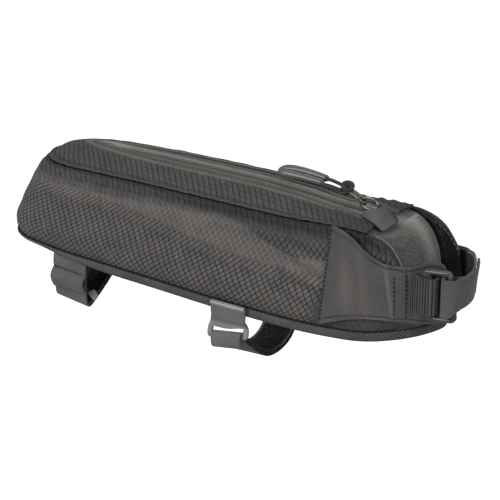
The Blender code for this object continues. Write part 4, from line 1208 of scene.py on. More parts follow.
WING_NEAR = table(
    "low_x high_x low high out",
    (0.0660, 0.0740, 0.0100, 0.0712, 0.0307),
    (0.0780, 0.0830, 0.0150, 0.0692, 0.0307),
    (0.0880, 0.0910, 0.0185, 0.0640, 0.0306),
    (0.0980, 0.0980, 0.0210, 0.0585, 0.0304),
    (0.1070, 0.1060, 0.0225, 0.0560, 0.0299),
    (0.1150, 0.1140, 0.0235, 0.0555, 0.0292),
    (0.1220, 0.1210, 0.0245, 0.0560, 0.0283),
    (0.1290, 0.1280, 0.0250, 0.0590, 0.0272),
    (0.1360, 0.1350, 0.0262, 0.0618, 0.0262),
    (0.1415, 0.1410, 0.0290, 0.0610, 0.0256),
    (0.1430, 0.1430, 0.0330, 0.0570, 0.0254),
)
WING_FAR = table(
    "low_x high_x low high out",
    (0.0660, 0.0740, 0.0100, 0.0660, 0.0307),
    (0.0800, 0.0840, 0.0150, 0.0662, 0.0307),
    (0.0930, 0.0950, 0.0190, 0.0668, 0.0305),
    (0.1050, 0.1050, 0.0220, 0.0648, 0.0300),
    (0.1150, 0.1130, 0.0250, 0.0608, 0.0291),
    (0.1220, 0.1190, 0.0280, 0.0550, 0.0278),
    (0.1270, 0.1240, 0.0320, 0.0490, 0.0264),
)


def mix_rows(rows, share):
    """A table's row at a share of the way through it, on a smooth curve."""
    last = len(rows) - 1
    k = share * last
    i = min(int(k), last - 1)
    four = [rows[min(max(j, 0), last)] for j in (i - 1, i, i + 1, i + 2)]
    return type(rows[0])(*(spline(*column, k - i) for column in zip(*four)))


def wing_lean(u, v):
    """Where a place lies across the wing's folds, which lean."""
    return u + (v - 0.5) * 0.06


def wing_point(rows, side, u, v, lift=0.0):
    row = mix_rows(rows, u)
    x = row.low_x + (row.high_x - row.low_x) * v
    z = row.low + (row.high - row.low) * v
    lean = wing_lean(u, v)
    folds = 0.0
    for height, middle, width in WING_FOLDS:
        folds += height * MM * hump(lean, middle, width)
    folds += 0.25 * MM * noise.noise(Vector((u * 9, v * 2.0, side * 4.0)))
    # A turned hem stands out along the free edges.
    hem = 0.35 * MM * (ease(0.93, 0.96, v) + 1 - ease(0.03, 0.06, v))
    swell = (folds * sin(pi * clamp(v)) ** 0.5 + hem) * ease(0.0, 0.06, u) * (1 - ease(0.9, 1.0, u))
    return Vector((x, side * (row.out + swell + lift), z))


# (height in mm, place, width)
WING_FOLDS = ((1.2, 0.13, 0.05), (1.3, 0.455, 0.025), (-0.8, 0.33, 0.06), (0.6, 0.25, 0.03), (-0.5, 0.62, 0.02))


def wing_line(rows, side, start, end, steps):
    """Points over a wing, from one place (u, v) to another."""
    found = []
    for k in range(steps + 1):
        u, v = (a + (b - a) * k / steps for a, b in zip(start, end))
        found.append(wing_point(rows, side, u, v, 0.0002))
    return found


# The seams of the near wing, from (u, v) to (u, v), with their steps
WING_SEAMS = (
    ((0.012, 0.04), (0.012, 0.97), 40),
    ((0.490, 0.10), (0.490, 0.86), 40),
    ((0.585, 0.06), (0.585, 0.90), 40),
    ((0.04, 0.055), (0.94, 0.055), 80),
    ((0.30, 0.945), (0.94, 0.945), 80),
)


def wings(cloth, lining):
    """Both side wings, lined in black, with their rows of stitches."""
    def shade(u, v):
        return max(0.85 * (1 - ease(0.0, 0.014, u)), 0.35 * hump(min(v, 1 - v), 0.05, 0.012), 0.25 * ease(0.5, 0.75, u))

    # Painted highlights: light streaks along the folds.
    def painted_highlight(u, v):
        lean = wing_lean(u, v)
        streaks = 0.65 * hump(lean, 0.14, 0.05) * hump(v, 0.35, 0.4)
        return (streaks + 0.9 * hump(lean, 0.455, 0.018) + 0.35 * hump(lean, 0.26, 0.04)) * sin(pi * v) ** 0.5

    for name, rows, side, node in (("near_wing", WING_NEAR, -1, "wing_near"), ("far_wing", WING_FAR, 1, "wing_far")):
        def place(u, v):
            return wing_point(rows, side, u, v)

        piece = grid_piece(name, 150, 72, place, {"shade": shade, "painted_highlight": painted_highlight}, turned=side > 0)
        give_walls(piece, 1.1 * MM, inner=1)
        dress(piece, "plain_ripstop", [cloth, lining], node)

    spots = []
    for seam in WING_SEAMS:
        spots += run_spots(wing_line(WING_NEAR, -1, *seam), 0.0026, Vector((0, -1, 0)))
    stitch_row("wing_stitches", spots, 0.00028, 0.0020, DARK_STITCH, "plain_ripstop")
    edge = wing_line(WING_FAR, 1, (0.04, 0.93), (0.96, 0.93), 80)
    edge += wing_line(WING_FAR, 1, (0.955, 0.93), (0.955, 0.07), 40)[1:]
    # The same seam shows on the lining's side.
    inside = [p - Vector((0, 0.0017, 0)) for p in edge]
    out = Vector((0, 1, 0))
    for name, line, away in (("far_wing_stitches", edge, out), ("far_wing_seam", inside, -out)):
        stitch_row(name, run_spots(line, 0.0034, away), 0.00028, 0.0024, PALE_STITCH, "plain_ripstop")


RIM_TOP = ((0.1080, -0.0294, 0.0226), (0.1200, -0.0280, 0.0240), (0.1300, -0.0266, 0.0252), (0.1390, -0.0254, 0.0270))
RIM_LOW = (0.1060, 0.1190, 0.1265, 0.1290)


def wing_corner(cloth):
    """The gusset that closes the wing's lower corner down to the floor's front rim, with a fold in it."""
    def place(u, v):
        k = u * 3
        i = min(int(k), 2)
        top = Vector(RIM_TOP[i]).lerp(Vector(RIM_TOP[i + 1]), k - i)
        x = RIM_LOW[i] + (RIM_LOW[i + 1] - RIM_LOW[i]) * (k - i)
        low = Vector((x, -floor_half(x) + 0.0008, floor_z(x) + floor_thick(x)))
        p = top.lerp(low, v)
        p.y += 0.0030 * sin(pi * v) * (1 - 0.5 * u)
        lean = u + v * 0.25
        fold = 0.9 * MM * hump(lean, 0.62, 0.05) - 0.7 * MM * hump(lean, 0.72, 0.04)
        return p + Vector((0.3, -1, 0)) * fold * sin(pi * v)

    def shade(u, v):
        foot = 0.8 * ease(0.95, 1.0, v)
        return max(0.30 * (1 - ease(0.0, 0.5, v)) * (1 - u), 0.6 * hump(u + v * 0.25, 0.72, 0.03), foot)

    # Painted highlight: the whole gusset is painted lighter, most along its fold.
    def painted_highlight(u, v):
        return 0.5 + 0.4 * hump(u + v * 0.25, 0.62, 0.06)

    piece = grid_piece("corner_gusset", 60, 40, place, {"shade": shade, "painted_highlight": painted_highlight})
    give_walls(piece, 1.0 * MM, 0.0)
    dress(piece, "plain_ripstop", [cloth], "wing_corner")


BUCKLE_X = 0.1412
BUCKLE_Y = -0.0300
BUCKLE_Z = 0.0452
BUCKLE_LENGTH = 0.0186
BUCKLE_HEIGHT = 0.0292
BUCKLE_THICK = 0.0030
BUCKLE_REAR_BAR = 0.0058
BUCKLE_FRONT_BAR = 0.0028
BUCKLE_RAIL = 0.0026
BUCKLE_TILT = radians(7)
BUCKLE_CORNER = 0.0036
BUCKLE_INNER_CORNER = 0.0012
MIDDLE_BAR_HALF = 0.0012
MIDDLE_BAR_BACK = 0.0034
# The thickness of the straps, half of it, and how far a strap's middle lies from the middle of the bar it turns round
STRAP_THICK = 1.3 * MM
STRAP_HALF = 0.00065
BUCKLE_REACH = BUCKLE_THICK / 2 + STRAP_HALF + 2 * GAP


def buckle_loop(x0, x1, z0, z1, radius, share):
    """A point on a rounded rectangle's outline, once round."""
    corners = ((x1, z1, -1, -1), (x0, z1, 1, -1), (x0, z0, 1, 1), (x1, z0, -1, 1))

    def on_corner(number, quarters):
        x, z, inward, upward = corners[number % 4]
        angle = radians(90 * quarters)
        return x + inward * radius + radius * cos(angle), z + upward * radius + radius * sin(angle)

    i = min(int(share * 4), 3)
    t = (share * 4 - i) * 2
    if t < 1:
        return on_corner(i, i + t)
    a, b = on_corner(i, i + 1), on_corner(i + 1, i + 1)
    return a[0] + (b[0] - a[0]) * (t - 1), a[1] + (b[1] - a[1]) * (t - 1)


def signed_power(value, power):
    return abs(value) ** power * (1 if value > 0 else -1)


def strap_buckle(gloss):
    """The moulded frame, round in section all the way."""
    x0, x1 = BUCKLE_X - BUCKLE_LENGTH / 2, BUCKLE_X + BUCKLE_LENGTH / 2
    z0, z1 = BUCKLE_Z - BUCKLE_HEIGHT / 2, BUCKLE_Z + BUCKLE_HEIGHT / 2
    inner = (x0 + BUCKLE_REAR_BAR, x1 - BUCKLE_FRONT_BAR, z0 + BUCKLE_RAIL, z1 - BUCKLE_RAIL)

    def tilted(x, y, z):
        ahead, above = x - BUCKLE_X, z - BUCKLE_Z
        c, s = cos(BUCKLE_TILT), sin(BUCKLE_TILT)
        return Vector((BUCKLE_X + ahead * c - above * s, y, BUCKLE_Z + ahead * s + above * c))

    def place(u, v):
        outer_x, outer_z = buckle_loop(x0, x1, z0, z1, BUCKLE_CORNER, u)
        inner_x, inner_z = buckle_loop(*inner, BUCKLE_INNER_CORNER, u)
        s = sin(2 * pi * v)
        share = 0.5 - 0.5 * signed_power(cos(2 * pi * v), 0.65)
        depth = signed_power(s, 0.65) * BUCKLE_THICK / 2
        crown = 0.35 * MM * (1 - (2 * share - 1) ** 2) * (1 if s < 0 else 0)
        x, z = outer_x + (inner_x - outer_x) * share, outer_z + (inner_z - outer_z) * share
        return tilted(x, BUCKLE_Y + depth - crown, z)

    piece = grid_piece("buckle", 144, 24, place)
    close_seams(piece)
    dress(piece, "moulded_plastic", [gloss], "strap_buckle", angle=80)
    middle = x1 - BUCKLE_FRONT_BAR / 2 - MIDDLE_BAR_BACK
    foot, head = (tilted(middle, BUCKLE_Y, z) for z in (z0 + MIDDLE_BAR_HALF, z1 - MIDDLE_BAR_HALF))
    way = [foot, foot.lerp(head, 0.5), head]
    cord_piece("buckle_middle_bar", way, 20, MIDDLE_BAR_HALF, 14, "moulded_plastic", gloss)


WEBBING_WIDTH = 0.0208
WEBBING_Z = 0.0444
WEBBING_STEPS = 300
RIB_STEPS = 21
RIB_HEIGHT = 0.5 * MM


def webbing_rib(i):
    """Height of the webbing's ribs, from 0 to 1, at a step of its way."""
    return abs(sin(pi * i / RIB_STEPS)) ** 0.6


def wing_webbing(tape):
    """The ribbed webbing loop round the buckle's rear bar."""
    edge = BUCKLE_X - BUCKLE_LENGTH / 2 + BUCKLE_REAR_BAR
    outside = [(0.1240, -0.0302), (0.1270, -0.0314), (0.1310, BUCKLE_Y - BUCKLE_REACH)]
    turn = arc((edge - 0.0010, BUCKLE_Y), BUCKLE_REACH, -90, 90, 12)
    inside = [(0.1353, BUCKLE_Y + BUCKLE_REACH)]
    path = [Vector((x, y, WEBBING_Z)) for x, y in outside + turn + inside]
    path = smooth_path(smooth_path(path[:4], 10) + path[4:], WEBBING_STEPS)

    def place(u, v):
        i = round(u * WEBBING_STEPS)
        along = (path[min(i + 1, WEBBING_STEPS)] - path[max(i - 1, 0)]).normalized()
        out = Vector((along.y, -along.x, 0))
        return path[i] + out * RIB_HEIGHT * webbing_rib(i) + Vector((0, 0, (v - 0.5) * WEBBING_WIDTH))

    def shade(u, v):
        return 0.97 * (1 - webbing_rib(round(u * WEBBING_STEPS))) ** 0.5

    piece = grid_piece("buckle_webbing", WEBBING_STEPS, 26, place, {"shade": shade})
    give_walls(piece, 1.2 * MM, 0.0)
    dress(piece, "webbing", [tape], "wing_webbing")


STRAP_WAY = (
    (0.1120, 0.0312, 0.0385),
    (0.1195, 0.0302, 0.0386),
    (0.1268, 0.0283, 0.0392),
    (0.1314, 0.0222, 0.0414),
    (0.1348, 0.0148, 0.0442),
    (0.1395, 0.0080, 0.0472),
    (0.1453, 0.0005, 0.0495),
    (0.1502, -0.0075, 0.0507),
    (0.1541, -0.0150, 0.0511),
    (0.1565, -0.0210, 0.0508),
    (0.1566, -0.0248, 0.0496),
    (0.1534, -0.0271, 0.0472),
)
STRAP_FOLD = (
    (0.1530, -0.0325, 0.0470),
    (0.1572, -0.0298, 0.0492),
    (0.1586, -0.0256, 0.0506),
    (0.1580, -0.0200, 0.0511),
    (0.1556, -0.0138, 0.0513),
    (0.1524, -0.0080, 0.0511),
)
STEERER_STRAP_WIDTH = 0.0224
STRAP_TURN_Z = 0.0450
STRAP_CURL = Vector((-0.0028, 0.0010, 0.0030))
CURL_START = 0.1480
CURL_RUN = 0.0080


def strap_piece(name, path, edges, materials, node, middle, thick=STRAP_THICK, crease=None, turn=None, wide=0):
    """A strap along a path. edges(i) gives the two edges of its middle surface at a point's number. The first
    material is on the side that faces away from the middle of its loop and all round its turn, a place and a
    radius. The second is on the other side. wide is the axis, 0 for X or 2 for Z, that its width runs along."""
    last = len(path) - 1

    def place(u, v):
        a, b = edges(round(u * last))
        return a.lerp(b, v)

    def shade(u, v):
        return max(0.25 * (1 - ease(0.0, 0.05, min(v, 1 - v))), crease(u) if crease else 0.0)

    def edge(u, v):
        return hump(min(v, 1 - v), 0.05, 0.022)

    piece = grid_piece(name, last, 40, place, {"shade": shade, "edge": edge})
    give_walls(piece, thick, 0.0)
    round_edges(piece, 0.28 * MM, 2, 60)
    dress(piece, "hook_and_loop", materials, *([node] if node else []))
    for face in piece.data.polygons:
        away = face.center - middle
        away[wide] = 0
        outer = face.normal.dot(away.normalized()) > -0.15
        if turn:
            around = face.center - turn[0]
            around[wide] = 0
            outer = outer or (around.length < turn[1] and face.normal.dot(around) > 0)
        face.material_index = 0 if outer else 1


def steerer_strap(face, hooks):
    """The strap round the steerer tube. It turns round the buckle's middle bar."""
    bar_x = BUCKLE_X + BUCKLE_LENGTH / 2 - BUCKLE_FRONT_BAR / 2 - MIDDLE_BAR_BACK
    turn = [Vector((x, y, STRAP_TURN_Z)) for x, y in arc((bar_x, BUCKLE_Y), BUCKLE_REACH, 90, 270, 16)]
    way = smooth_path([*STRAP_WAY, turn[0]], 150)
    fold = smooth_path([turn[-1], turn[-1] + Vector((0.0040, -0.0001, 0.0006)), *STRAP_FOLD], 60)
    path = way + turn[1:-1] + fold

    def edges(i):
        p = path[i]
        share = clamp((p.x - CURL_START) / CURL_RUN)
        half = Vector((0, 0, STEERER_STRAP_WIDTH / 2))
        return p - half + STRAP_CURL * share, p + half

    middle, bar = Vector((0.125, -0.010, 0.045)), Vector((bar_x, BUCKLE_Y, STRAP_TURN_Z))
    turned = (bar, BUCKLE_REACH + 1.0 * MM)
    strap_piece("steerer_webbing", path, edges, [face, hooks], "steerer_strap", middle, turn=turned, wide=2)


TAIL_STRAP_X = -0.1230
STRAP_WIDTH = 0.025
FLAP_SHIFT = 0.0018
TAIL_FOLD_LEAN = -0.12
TAIL_FOLD_DEPTH = 0.012
FLAP_CREASE = 0.36
TAIL_STRAP_WAY = (
    (0.0090, 0.0000),
    (0.0150, 0.0000),
    (0.0180, -0.0035),
    (0.0140, -0.0090),
    (0.0050, -0.0150),
    (-0.0060, -0.0215),
    (-0.0130, -0.0255),
    (-0.0168, -0.0262),
    (-0.0186, -0.0232),
    (-0.0190, -0.0160),
    (-0.0188, -0.0090),
    (-0.0178, -0.0030),
    (-0.0140, 0.0000),
    (-0.0090, 0.0000),
)
TAIL_FLAP_WAY = (
    (-0.0208, 0.0000),
    (-0.0221, -0.0040),
    (-0.0243, -0.0090),
    (-0.0238, -0.0138),
    (-0.0216, -0.0172),
)


# The end tab's corners: two along its top, then two along its foot
TAB_CORNERS = (
    (-0.1124, -0.0165, -0.0190),
    (-0.1066, -0.0165, -0.0155),
    (-0.1030, -0.0162, -0.0191),
    (-0.1063, -0.0160, -0.0236),
)


def across_bag(x, way, z):
    """Points across the bag at x, from (y, height). A height of 0 stands for z, just under the floor."""
    return [(x, y, height if height else z) for y, height in way]


def leaning_edges(path, width, leans):
    def edges(i):
        half = Vector((width / 2, 0, width / 2 * leans[i]))
        return path[i] - half, path[i] + half
    return edges


def tail_strap(face, hooks, grey):
    """The strap under the tail, with its flap and its end tab."""
    front, back = floor_z(TAIL_STRAP_X + STRAP_WIDTH / 2), floor_z(TAIL_STRAP_X - STRAP_WIDTH / 2)
    slope, under = (front - back) / STRAP_WIDTH, (front + back) / 2 - 3 * GAP

    def floor_lean(p):
        return slope * clamp(1 + p.z / TAIL_FOLD_DEPTH)

    path = smooth_path(across_bag(TAIL_STRAP_X, TAIL_STRAP_WAY, under - STRAP_HALF), 140)
    leans = [floor_lean(p) + TAIL_FOLD_LEAN * clamp((-p.z - 0.008) / TAIL_FOLD_DEPTH) for p in path]
    centre = Vector((TAIL_STRAP_X, 0.0, -0.0080))
    edges = leaning_edges(path, STRAP_WIDTH, leans)
    strap_piece("tail_webbing", path, edges, [face, hooks], "tail_strap", centre)
    path = smooth_path(across_bag(TAIL_STRAP_X + FLAP_SHIFT, TAIL_FLAP_WAY, under), 60)
    leans = [floor_lean(p) for p in path]
    # A stitched crease runs across the flap, and the cloth swells below it.
    for k, p in enumerate(path):
        p.y += 1.0 * MM * hump(k / 60, FLAP_CREASE, 0.06) - 0.7 * MM * hump(k / 60, 0.60, 0.12)

    # Painted shade along the crease and at the flap's foot.
    def crease(u):
        return 0.85 * hump(u, FLAP_CREASE, 0.025) + 0.5 * ease(0.95, 1.0, u)

    edges = leaning_edges(path, STRAP_WIDTH + 0.0006, leans)
    strap_piece("tail_flap", path, edges, [face, hooks], "tail_strap_flap", centre, crease=crease)
    row, sewn = [], path[22]
    for k in range(21):
        rise = 0.0006 + slope * 0.5 * (k / 20 - 0.5) * 0.02
        row.append(Vector((TAIL_STRAP_X - 0.010 + 0.022 * k / 20, sewn.y - 0.0008, sewn.z + rise)))
    spots = run_spots(row, 0.0030, Vector((0, -1, 0)))
    stitch_row("flap_stitches", spots, 0.0003, 0.0022, DARK_STITCH, "hook_and_loop")

    def place(u, v):
        # The tab hangs askew from the strap's front edge.
        top = Vector(TAB_CORNERS[0]).lerp(Vector(TAB_CORNERS[1]), u)
        low = Vector(TAB_CORNERS[3]).lerp(Vector(TAB_CORNERS[2]), u)
        return top.lerp(low, v)

    tab = grid_piece("strap_end_tab", 12, 8, place)
    give_walls(tab, 1.0 * MM, 0.0)
    round_edges(tab, 0.35 * MM, 3, 50)
    dress(tab, "grey_plastic", [grey], "tail_strap_tab")


HOOK_X = 0.0037
HOOK_THICK = 0.0018
HOOK_ROWS = table(
    "y z half",
    (-0.0279, 0.0058, 0.0116),
    (-0.0287, 0.0040, 0.0118),
    (-0.0287, 0.0000, 0.0118),
    (-0.0280, -0.0030, 0.0116),
    (-0.0278, -0.0058, 0.0124),
    (-0.0281, -0.0085, 0.0138),
    (-0.0285, -0.0118, 0.0142),
    (-0.0286, -0.0145, 0.0138),
    (-0.0286, -0.0155, 0.0122),
)
HOOK_BAR_Y = -0.0286
HOOK_BAR_Z = -0.0144
HOOK_LEAN = 0.165


def leaning(x, y, z):
    lean = HOOK_LEAN * clamp((-0.0020 - z) / 0.0070)
    return Vector((x, y, z + (x - HOOK_X) * lean))


def frame_hook(grey):
    """The moulded hook, with a rolled top edge and a slot whose upper edge dips."""
    def place(u, v):
        row = mix_rows(HOOK_ROWS, v)
        roll = 1.0 * MM * hump(v, 0.06, 0.05) + 0.5 * MM * hump(v, 0.42, 0.08) - 0.4 * MM * hump(v, 0.22, 0.08)
        return leaning(HOOK_X + row.half * (1 - 2 * u), row.y - roll, row.z)

    hook = grid_piece("moulded_hook", 60, 60, place)
    give_walls(hook, HOOK_THICK, 0.0)
    slot = []
    for k in range(25):
        share = k / 12 - 1
        slot.append((HOOK_X + 0.0112 * share, -0.0086 - 0.0009 * cos(share * pi / 2) ** 2))
    slot += [(HOOK_X + 0.0110, HOOK_BAR_Z + 0.0010), (HOOK_X - 0.0110, HOOK_BAR_Z + 0.0010)]
    cut_away(hook, drawn_out([leaning(x, -0.036, z) for x, z in slot], (0, 0.016, 0)))
    round_edges(hook, 0.45 * MM, 3, 50)
    dress(hook, "grey_plastic", [grey], "frame_hook", angle=50)


HOOK_STRAP_WAY = (
    (0.0120, 0.0000),
    (0.0190, 0.0000),
    (0.0255, -0.0030),
    (0.0290, -0.0110),
    (0.0295, -0.0205),
    (0.0262, -0.0295),
    (0.0180, -0.0350),
    (0.0070, -0.0363),
    (-0.0030, -0.0343),
    (-0.0120, -0.0292),
    (-0.0190, -0.0238),
    (-0.0237, -0.0198),
    (-0.0258, -0.0168),
)
HOOK_STRAP_FOLD = (
    (-0.0311, -0.0172),
    (-0.0303, -0.0200),
    (-0.0283, -0.0216),
)


FRONT_STRAP_WIDTH = 0.0208
# The bed of hooks and the frayed edge, as the first and last of the strap's points that they cover
BED_SPAN = (34, 146)
FRAY_SPAN = (96, 149)


def front_strap(face, hooks):
    """The strap through the moulded hook, with the bed of hooks inside it."""
    reach = HOOK_THICK / 2 + STRAP_HALF + GAP + 0.0006
    turn = arc((HOOK_BAR_Y, HOOK_BAR_Z), reach, 0, 180, 12)
    under = -STRAP_HALF - 2 * GAP
    way = smooth_path(across_bag(HOOK_X, (*HOOK_STRAP_WAY, turn[0]), under), 150)
    fold = smooth_path(across_bag(HOOK_X, (turn[-1], *HOOK_STRAP_FOLD), under), 20)
    path = way + [Vector((HOOK_X, y, z)) for y, z in turn[1:-1]] + fold
    leans = [HOOK_LEAN * clamp(-p.y / 0.020) for p in path]
    centre = Vector((HOOK_X, 0.0, -0.0180))
    turned = (Vector((HOOK_X, HOOK_BAR_Y, HOOK_BAR_Z)), reach + 1.0 * MM)
    edges = leaning_edges(path, FRONT_STRAP_WIDTH, leans)
    strap_piece("front_webbing", path, edges, [face, hooks], "front_strap", centre, turn=turned)
    # A thick bed of hooks is sewn inside the strap, from its far side round to the bar.
    first, last = BED_SPAN
    bed = []
    for k in range(first, last):
        along = (path[k + 1] - path[k - 1]).normalized()
        inward = Vector((0, along.z, -along.y))
        if inward.dot(centre - path[k]) < 0:
            inward = -inward
        thick = 2.3 * MM * ease(0, 18, k - first) * ease(0, 6, last - k) + 0.5 * MM
        bed.append(path[k] + inward * (0.7 * MM + thick / 2) + Vector((0.0006, 0, 0)))
    edges = leaning_edges(bed, FRONT_STRAP_WIDTH + 0.0014, leans[first:last])
    strap_piece("front_strap_hooks", bed, edges, [hooks, hooks], None, centre, thick=2.4 * MM)
    # Its frayed edge runs down the strap's front from the bar.
    fray = []
    for k in range(*FRAY_SPAN):
        to_centre = (centre - path[k]).normalized()
        fray.append(path[k] + Vector((0.0108, 0, 0.0104 * leans[k])) + Vector((0, to_centre.y, to_centre.z)) * 0.9 * MM)
    fray = smooth_path(fray, 80)
    radii = [1.15 * MM * min(1.0, 0.35 + k / 12, 0.35 + (80 - k) / 12) for k in range(81)]
    dress(tube_piece("front_strap_fray", fray, radii, 14), "hook_and_loop", [hooks], angle=80)


SLIDER_X = 0.0826
SLIDER_LENGTH = 0.0110
SLIDER_WIDTH = 0.0080
SLIDER_THICK = 0.0019
BAIL_WIRE = 0.0008
BAIL_REACH = 0.0050
BAIL_RISE = 0.0044
TAB_LENGTH = 0.0142
TAB_WIDTH = 0.0056
TAB_THICK = 0.0011
TAB_SLOPE = radians(25)
TAB_EYE = 0.0046
CORD_WIDTH = 0.0021
KNOT_SIZE = (0.0034, 0.0032, 0.0038)
KNOT_SHIFT = Vector((0.0044, 0.0, -0.0018))
GRIP_TAIL = 0.0215
GRIP_HEAD = 0.0500


def pitched(origin, local, angle):
    """A place from an origin, with the local axes turned down at the front by an angle."""
    x, y, z = local
    c, s = cos(angle), sin(angle)
    return Vector((origin[0] + x * c + z * s, origin[1] + y, origin[2] + z * c - x * s))


def on_slider(local):
    """A place on the slider, which lies on the film's crest and follows its fall."""
    behind, ahead = crest_z(SLIDER_X - SLIDER_LENGTH / 2), crest_z(SLIDER_X + SLIDER_LENGTH / 2)
    base = max((behind + ahead) / 2, crest_z(SLIDER_X)) + GAP
    return pitched((SLIDER_X, zip_mid_y(SLIDER_X), base), local, atan2(behind - ahead, SLIDER_LENGTH))


def on_tab(local):
    """A place on the puller's tab, which hangs from the bail by its eye."""
    leg = on_slider((-BAIL_REACH + 0.0002, 0.0, SLIDER_THICK + 0.0014))
    return pitched(pitched(leg, (-TAB_EYE, 0.0, 0.0), TAB_SLOPE), local, TAB_SLOPE)


def puller_plate(metal):
    """The tab: a flat plate with a rounded outline and two holes, as (middle, length, width)."""
    points = [(x, y, -TAB_THICK / 2) for x, y in pill(TAB_LENGTH, TAB_WIDTH, TAB_WIDTH * 0.36)]
    plate = drawn_out(points, (0, 0, TAB_THICK))
    plate.name = plate.data.name = "slider_tab"
    for x, length, width in ((TAB_EYE, 0.0038, 0.0032), (-TAB_EYE, 0.0032, 0.0032)):
        clear_selection()
        bpy.ops.mesh.primitive_cylinder_add(vertices=32, radius=1.0, depth=0.01, location=(0, 0, 0))
        cutter = bpy.context.object
        for vert in cutter.data.vertices:
            vert.co = (x + vert.co.x * length / 2, vert.co.y * width / 2, vert.co.z)
        cut_away(plate, cutter)
    round_edges(plate, 0.22 * MM, 2, 50)
    for vert in plate.data.vertices:
        vert.co = on_tab(vert.co)
    dress(plate, "gunmetal", [metal], "puller_tab", angle=50)


def pill(length, width, corner):
    """The outline of a rectangle with round corners."""
    found = []
    for cx, cy, start in ((1, 1, 0), (-1, 1, 90), (-1, -1, 180), (1, -1, 270)):
        middle = (cx * (length / 2 - corner), cy * (width / 2 - corner))
        found += arc(middle, corner, start, start + 90, 8)
    return found


def zip_slider(metal):
    """The slider: a waisted body, and the bail over it."""
    def place(u, v):
        # A superellipse shell with a waist
        angle, tilt = 2 * pi * u, pi * (v - 0.5)
        flat = max(cos(tilt), 0.0) ** 0.25
        x = signed_power(cos(angle), 0.5) * SLIDER_LENGTH / 2 * flat
        waist = 1.0 - 0.22 * ease(-0.2, 1.0, -x / (SLIDER_LENGTH / 2))
        y = signed_power(sin(angle), 0.5) * SLIDER_WIDTH / 2 * flat * waist
        z = SLIDER_THICK / 2 + signed_power(sin(tilt), 0.5) * SLIDER_THICK / 2
        crown = 0.5 * MM * hump(y, 0.0, 0.0016) * (1 if tilt > 0 else 0)
        return on_slider((x, y, z + crown))

    body = grid_piece("slider_body", 72, 28, place)
    close_seams(body)
    dress(body, "gunmetal", [metal], "zip_slider", angle=70)
    foot, rise = SLIDER_THICK * 0.4, SLIDER_THICK * 0.6 + BAIL_RISE
    path = []
    for k in range(49):
        angle = pi * k / 48
        path.append(on_slider((-BAIL_REACH * cos(angle), 0.0, foot + rise * sin(angle) ** 0.6)))
    cord_piece("slider_bail", path, 60, BAIL_WIRE, 14, "gunmetal", metal)


def puller(metal, plastic, braid):
    """The zip's pull: its tab, knot, grip and cord."""
    puller_plate(metal)
    # Two crossing turns of cord make the knot, drawn up over the tab's end.
    centre = on_tab((-TAB_LENGTH / 2 - KNOT_SIZE[0] - 0.0006, 0.0, -0.0006)) + KNOT_SHIFT
    a, b, c = KNOT_SIZE[0] * 0.90, KNOT_SIZE[1] * 0.95, KNOT_SIZE[2] * 1.25
    turns = []
    for k in range(97):
        angle = 4 * pi * k / 96
        swing = 0.55 * sin(angle * 0.5 + 0.4)
        turns.append(centre + Vector((a * cos(angle) * (0.75 + 0.2 * swing), b * sin(angle), c * swing * 1.1)))
    knot = tube_piece("cord_knot", turns, [0.00130] * 97, 12)
    dress(knot, "cord_weave", [braid], "puller_knot", angle=80)

    path = smooth_path(grip_way(), 120)
    shares = [clamp((p.x - GRIP_TAIL) / (GRIP_HEAD - GRIP_TAIL)) for p in path]
    grip = tube_piece("pull_grip", path, [read_table(GRIP_ROWS, "radius", share) for share in shares], 24)
    dress(grip, "moulded_plastic", [plastic], "puller_grip", angle=80)

    for name, side in (("far", 1), ("near", -1)):
        start = grip_point(1.0, side) + Vector((-0.002, 0, 0))
        end = centre + Vector((-KNOT_SIZE[0] * 0.98, side * 0.0012, 0.0010 * side))
        way = [start, start.lerp(end, 0.5) + Vector((0, 0, 0.0005 * side)), end]
        cord_piece("strand_" + name, way, 40, CORD_WIDTH / 2, 14, "cord_weave", braid, "puller_cord_" + name)
    # The loop's other end, from the knot through the tab's eye
    eye, out = on_tab((-TAB_EYE, 0, 0)), on_tab((-TAB_LENGTH / 2 - 0.0008, 0, 0.0006))
    over = [
        centre,
        out + Vector((0, 0.0004, 0.0012)),
        eye + Vector((0.0002, 0, 0.0012)),
        eye + Vector((0.0004, 0, -0.0006)),
        out + Vector((0.0, -0.0004, -0.0014)),
        centre + Vector((0, 0, -0.0008)),
    ]
    cord_piece("cord_loop", over, 60, 0.0007, 12, "cord_weave", braid)


GRIP_ROWS = table(
    "along far_y far_up near_y near_up radius",
    (0.00, 0.0034, 0.0056, 0.0012, 0.0050, 0.0024),
    (0.08, 0.0044, 0.0062, -0.0002, 0.0052, 0.0025),
    (0.30, 0.0050, 0.0068, -0.0008, 0.0056, 0.0024),
    (0.60, 0.0048, 0.0068, -0.0008, 0.0056, 0.0022),
    (1.00, 0.0042, 0.0064, -0.0008, 0.0054, 0.0020),
)


def grip_point(along, side):
    x = GRIP_TAIL + (GRIP_HEAD - GRIP_TAIL) * along
    name = "far" if side > 0 else "near"
    y = read_table(GRIP_ROWS, name + "_y", along)
    up = read_table(GRIP_ROWS, name + "_up", along)
    return Vector((x, zip_mid_y(GRIP_TAIL) + y, crest_z(x) + GAP + up))


def grip_way():
    """The grip's line, from its far front end round its tail to the near front end."""
    far = [grip_point(k / 12, 1) for k in range(12, 0, -1)]
    tip = [grip_point(0.045, 1), (grip_point(0.0, 1) + grip_point(0.0, -1)) / 2, grip_point(0.045, -1)]
    near = [grip_point(k / 12, -1) for k in range(1, 13)]
    return far + tip + near


HOOD_ROWS = table(
    "x middle side rise",
    (0.0891, -0.0045, 0.0108, 0.0024),
    (0.0906, -0.0049, 0.0107, 0.0022),
    (0.0930, -0.0056, 0.0104, 0.0017),
    (0.0952, -0.0063, 0.0101, 0.0012),
    (0.0976, -0.0072, 0.0098, 0.0007),
    (0.1002, -0.0082, 0.0092, 0.0004),
)
HOOD_FALL = 0.45


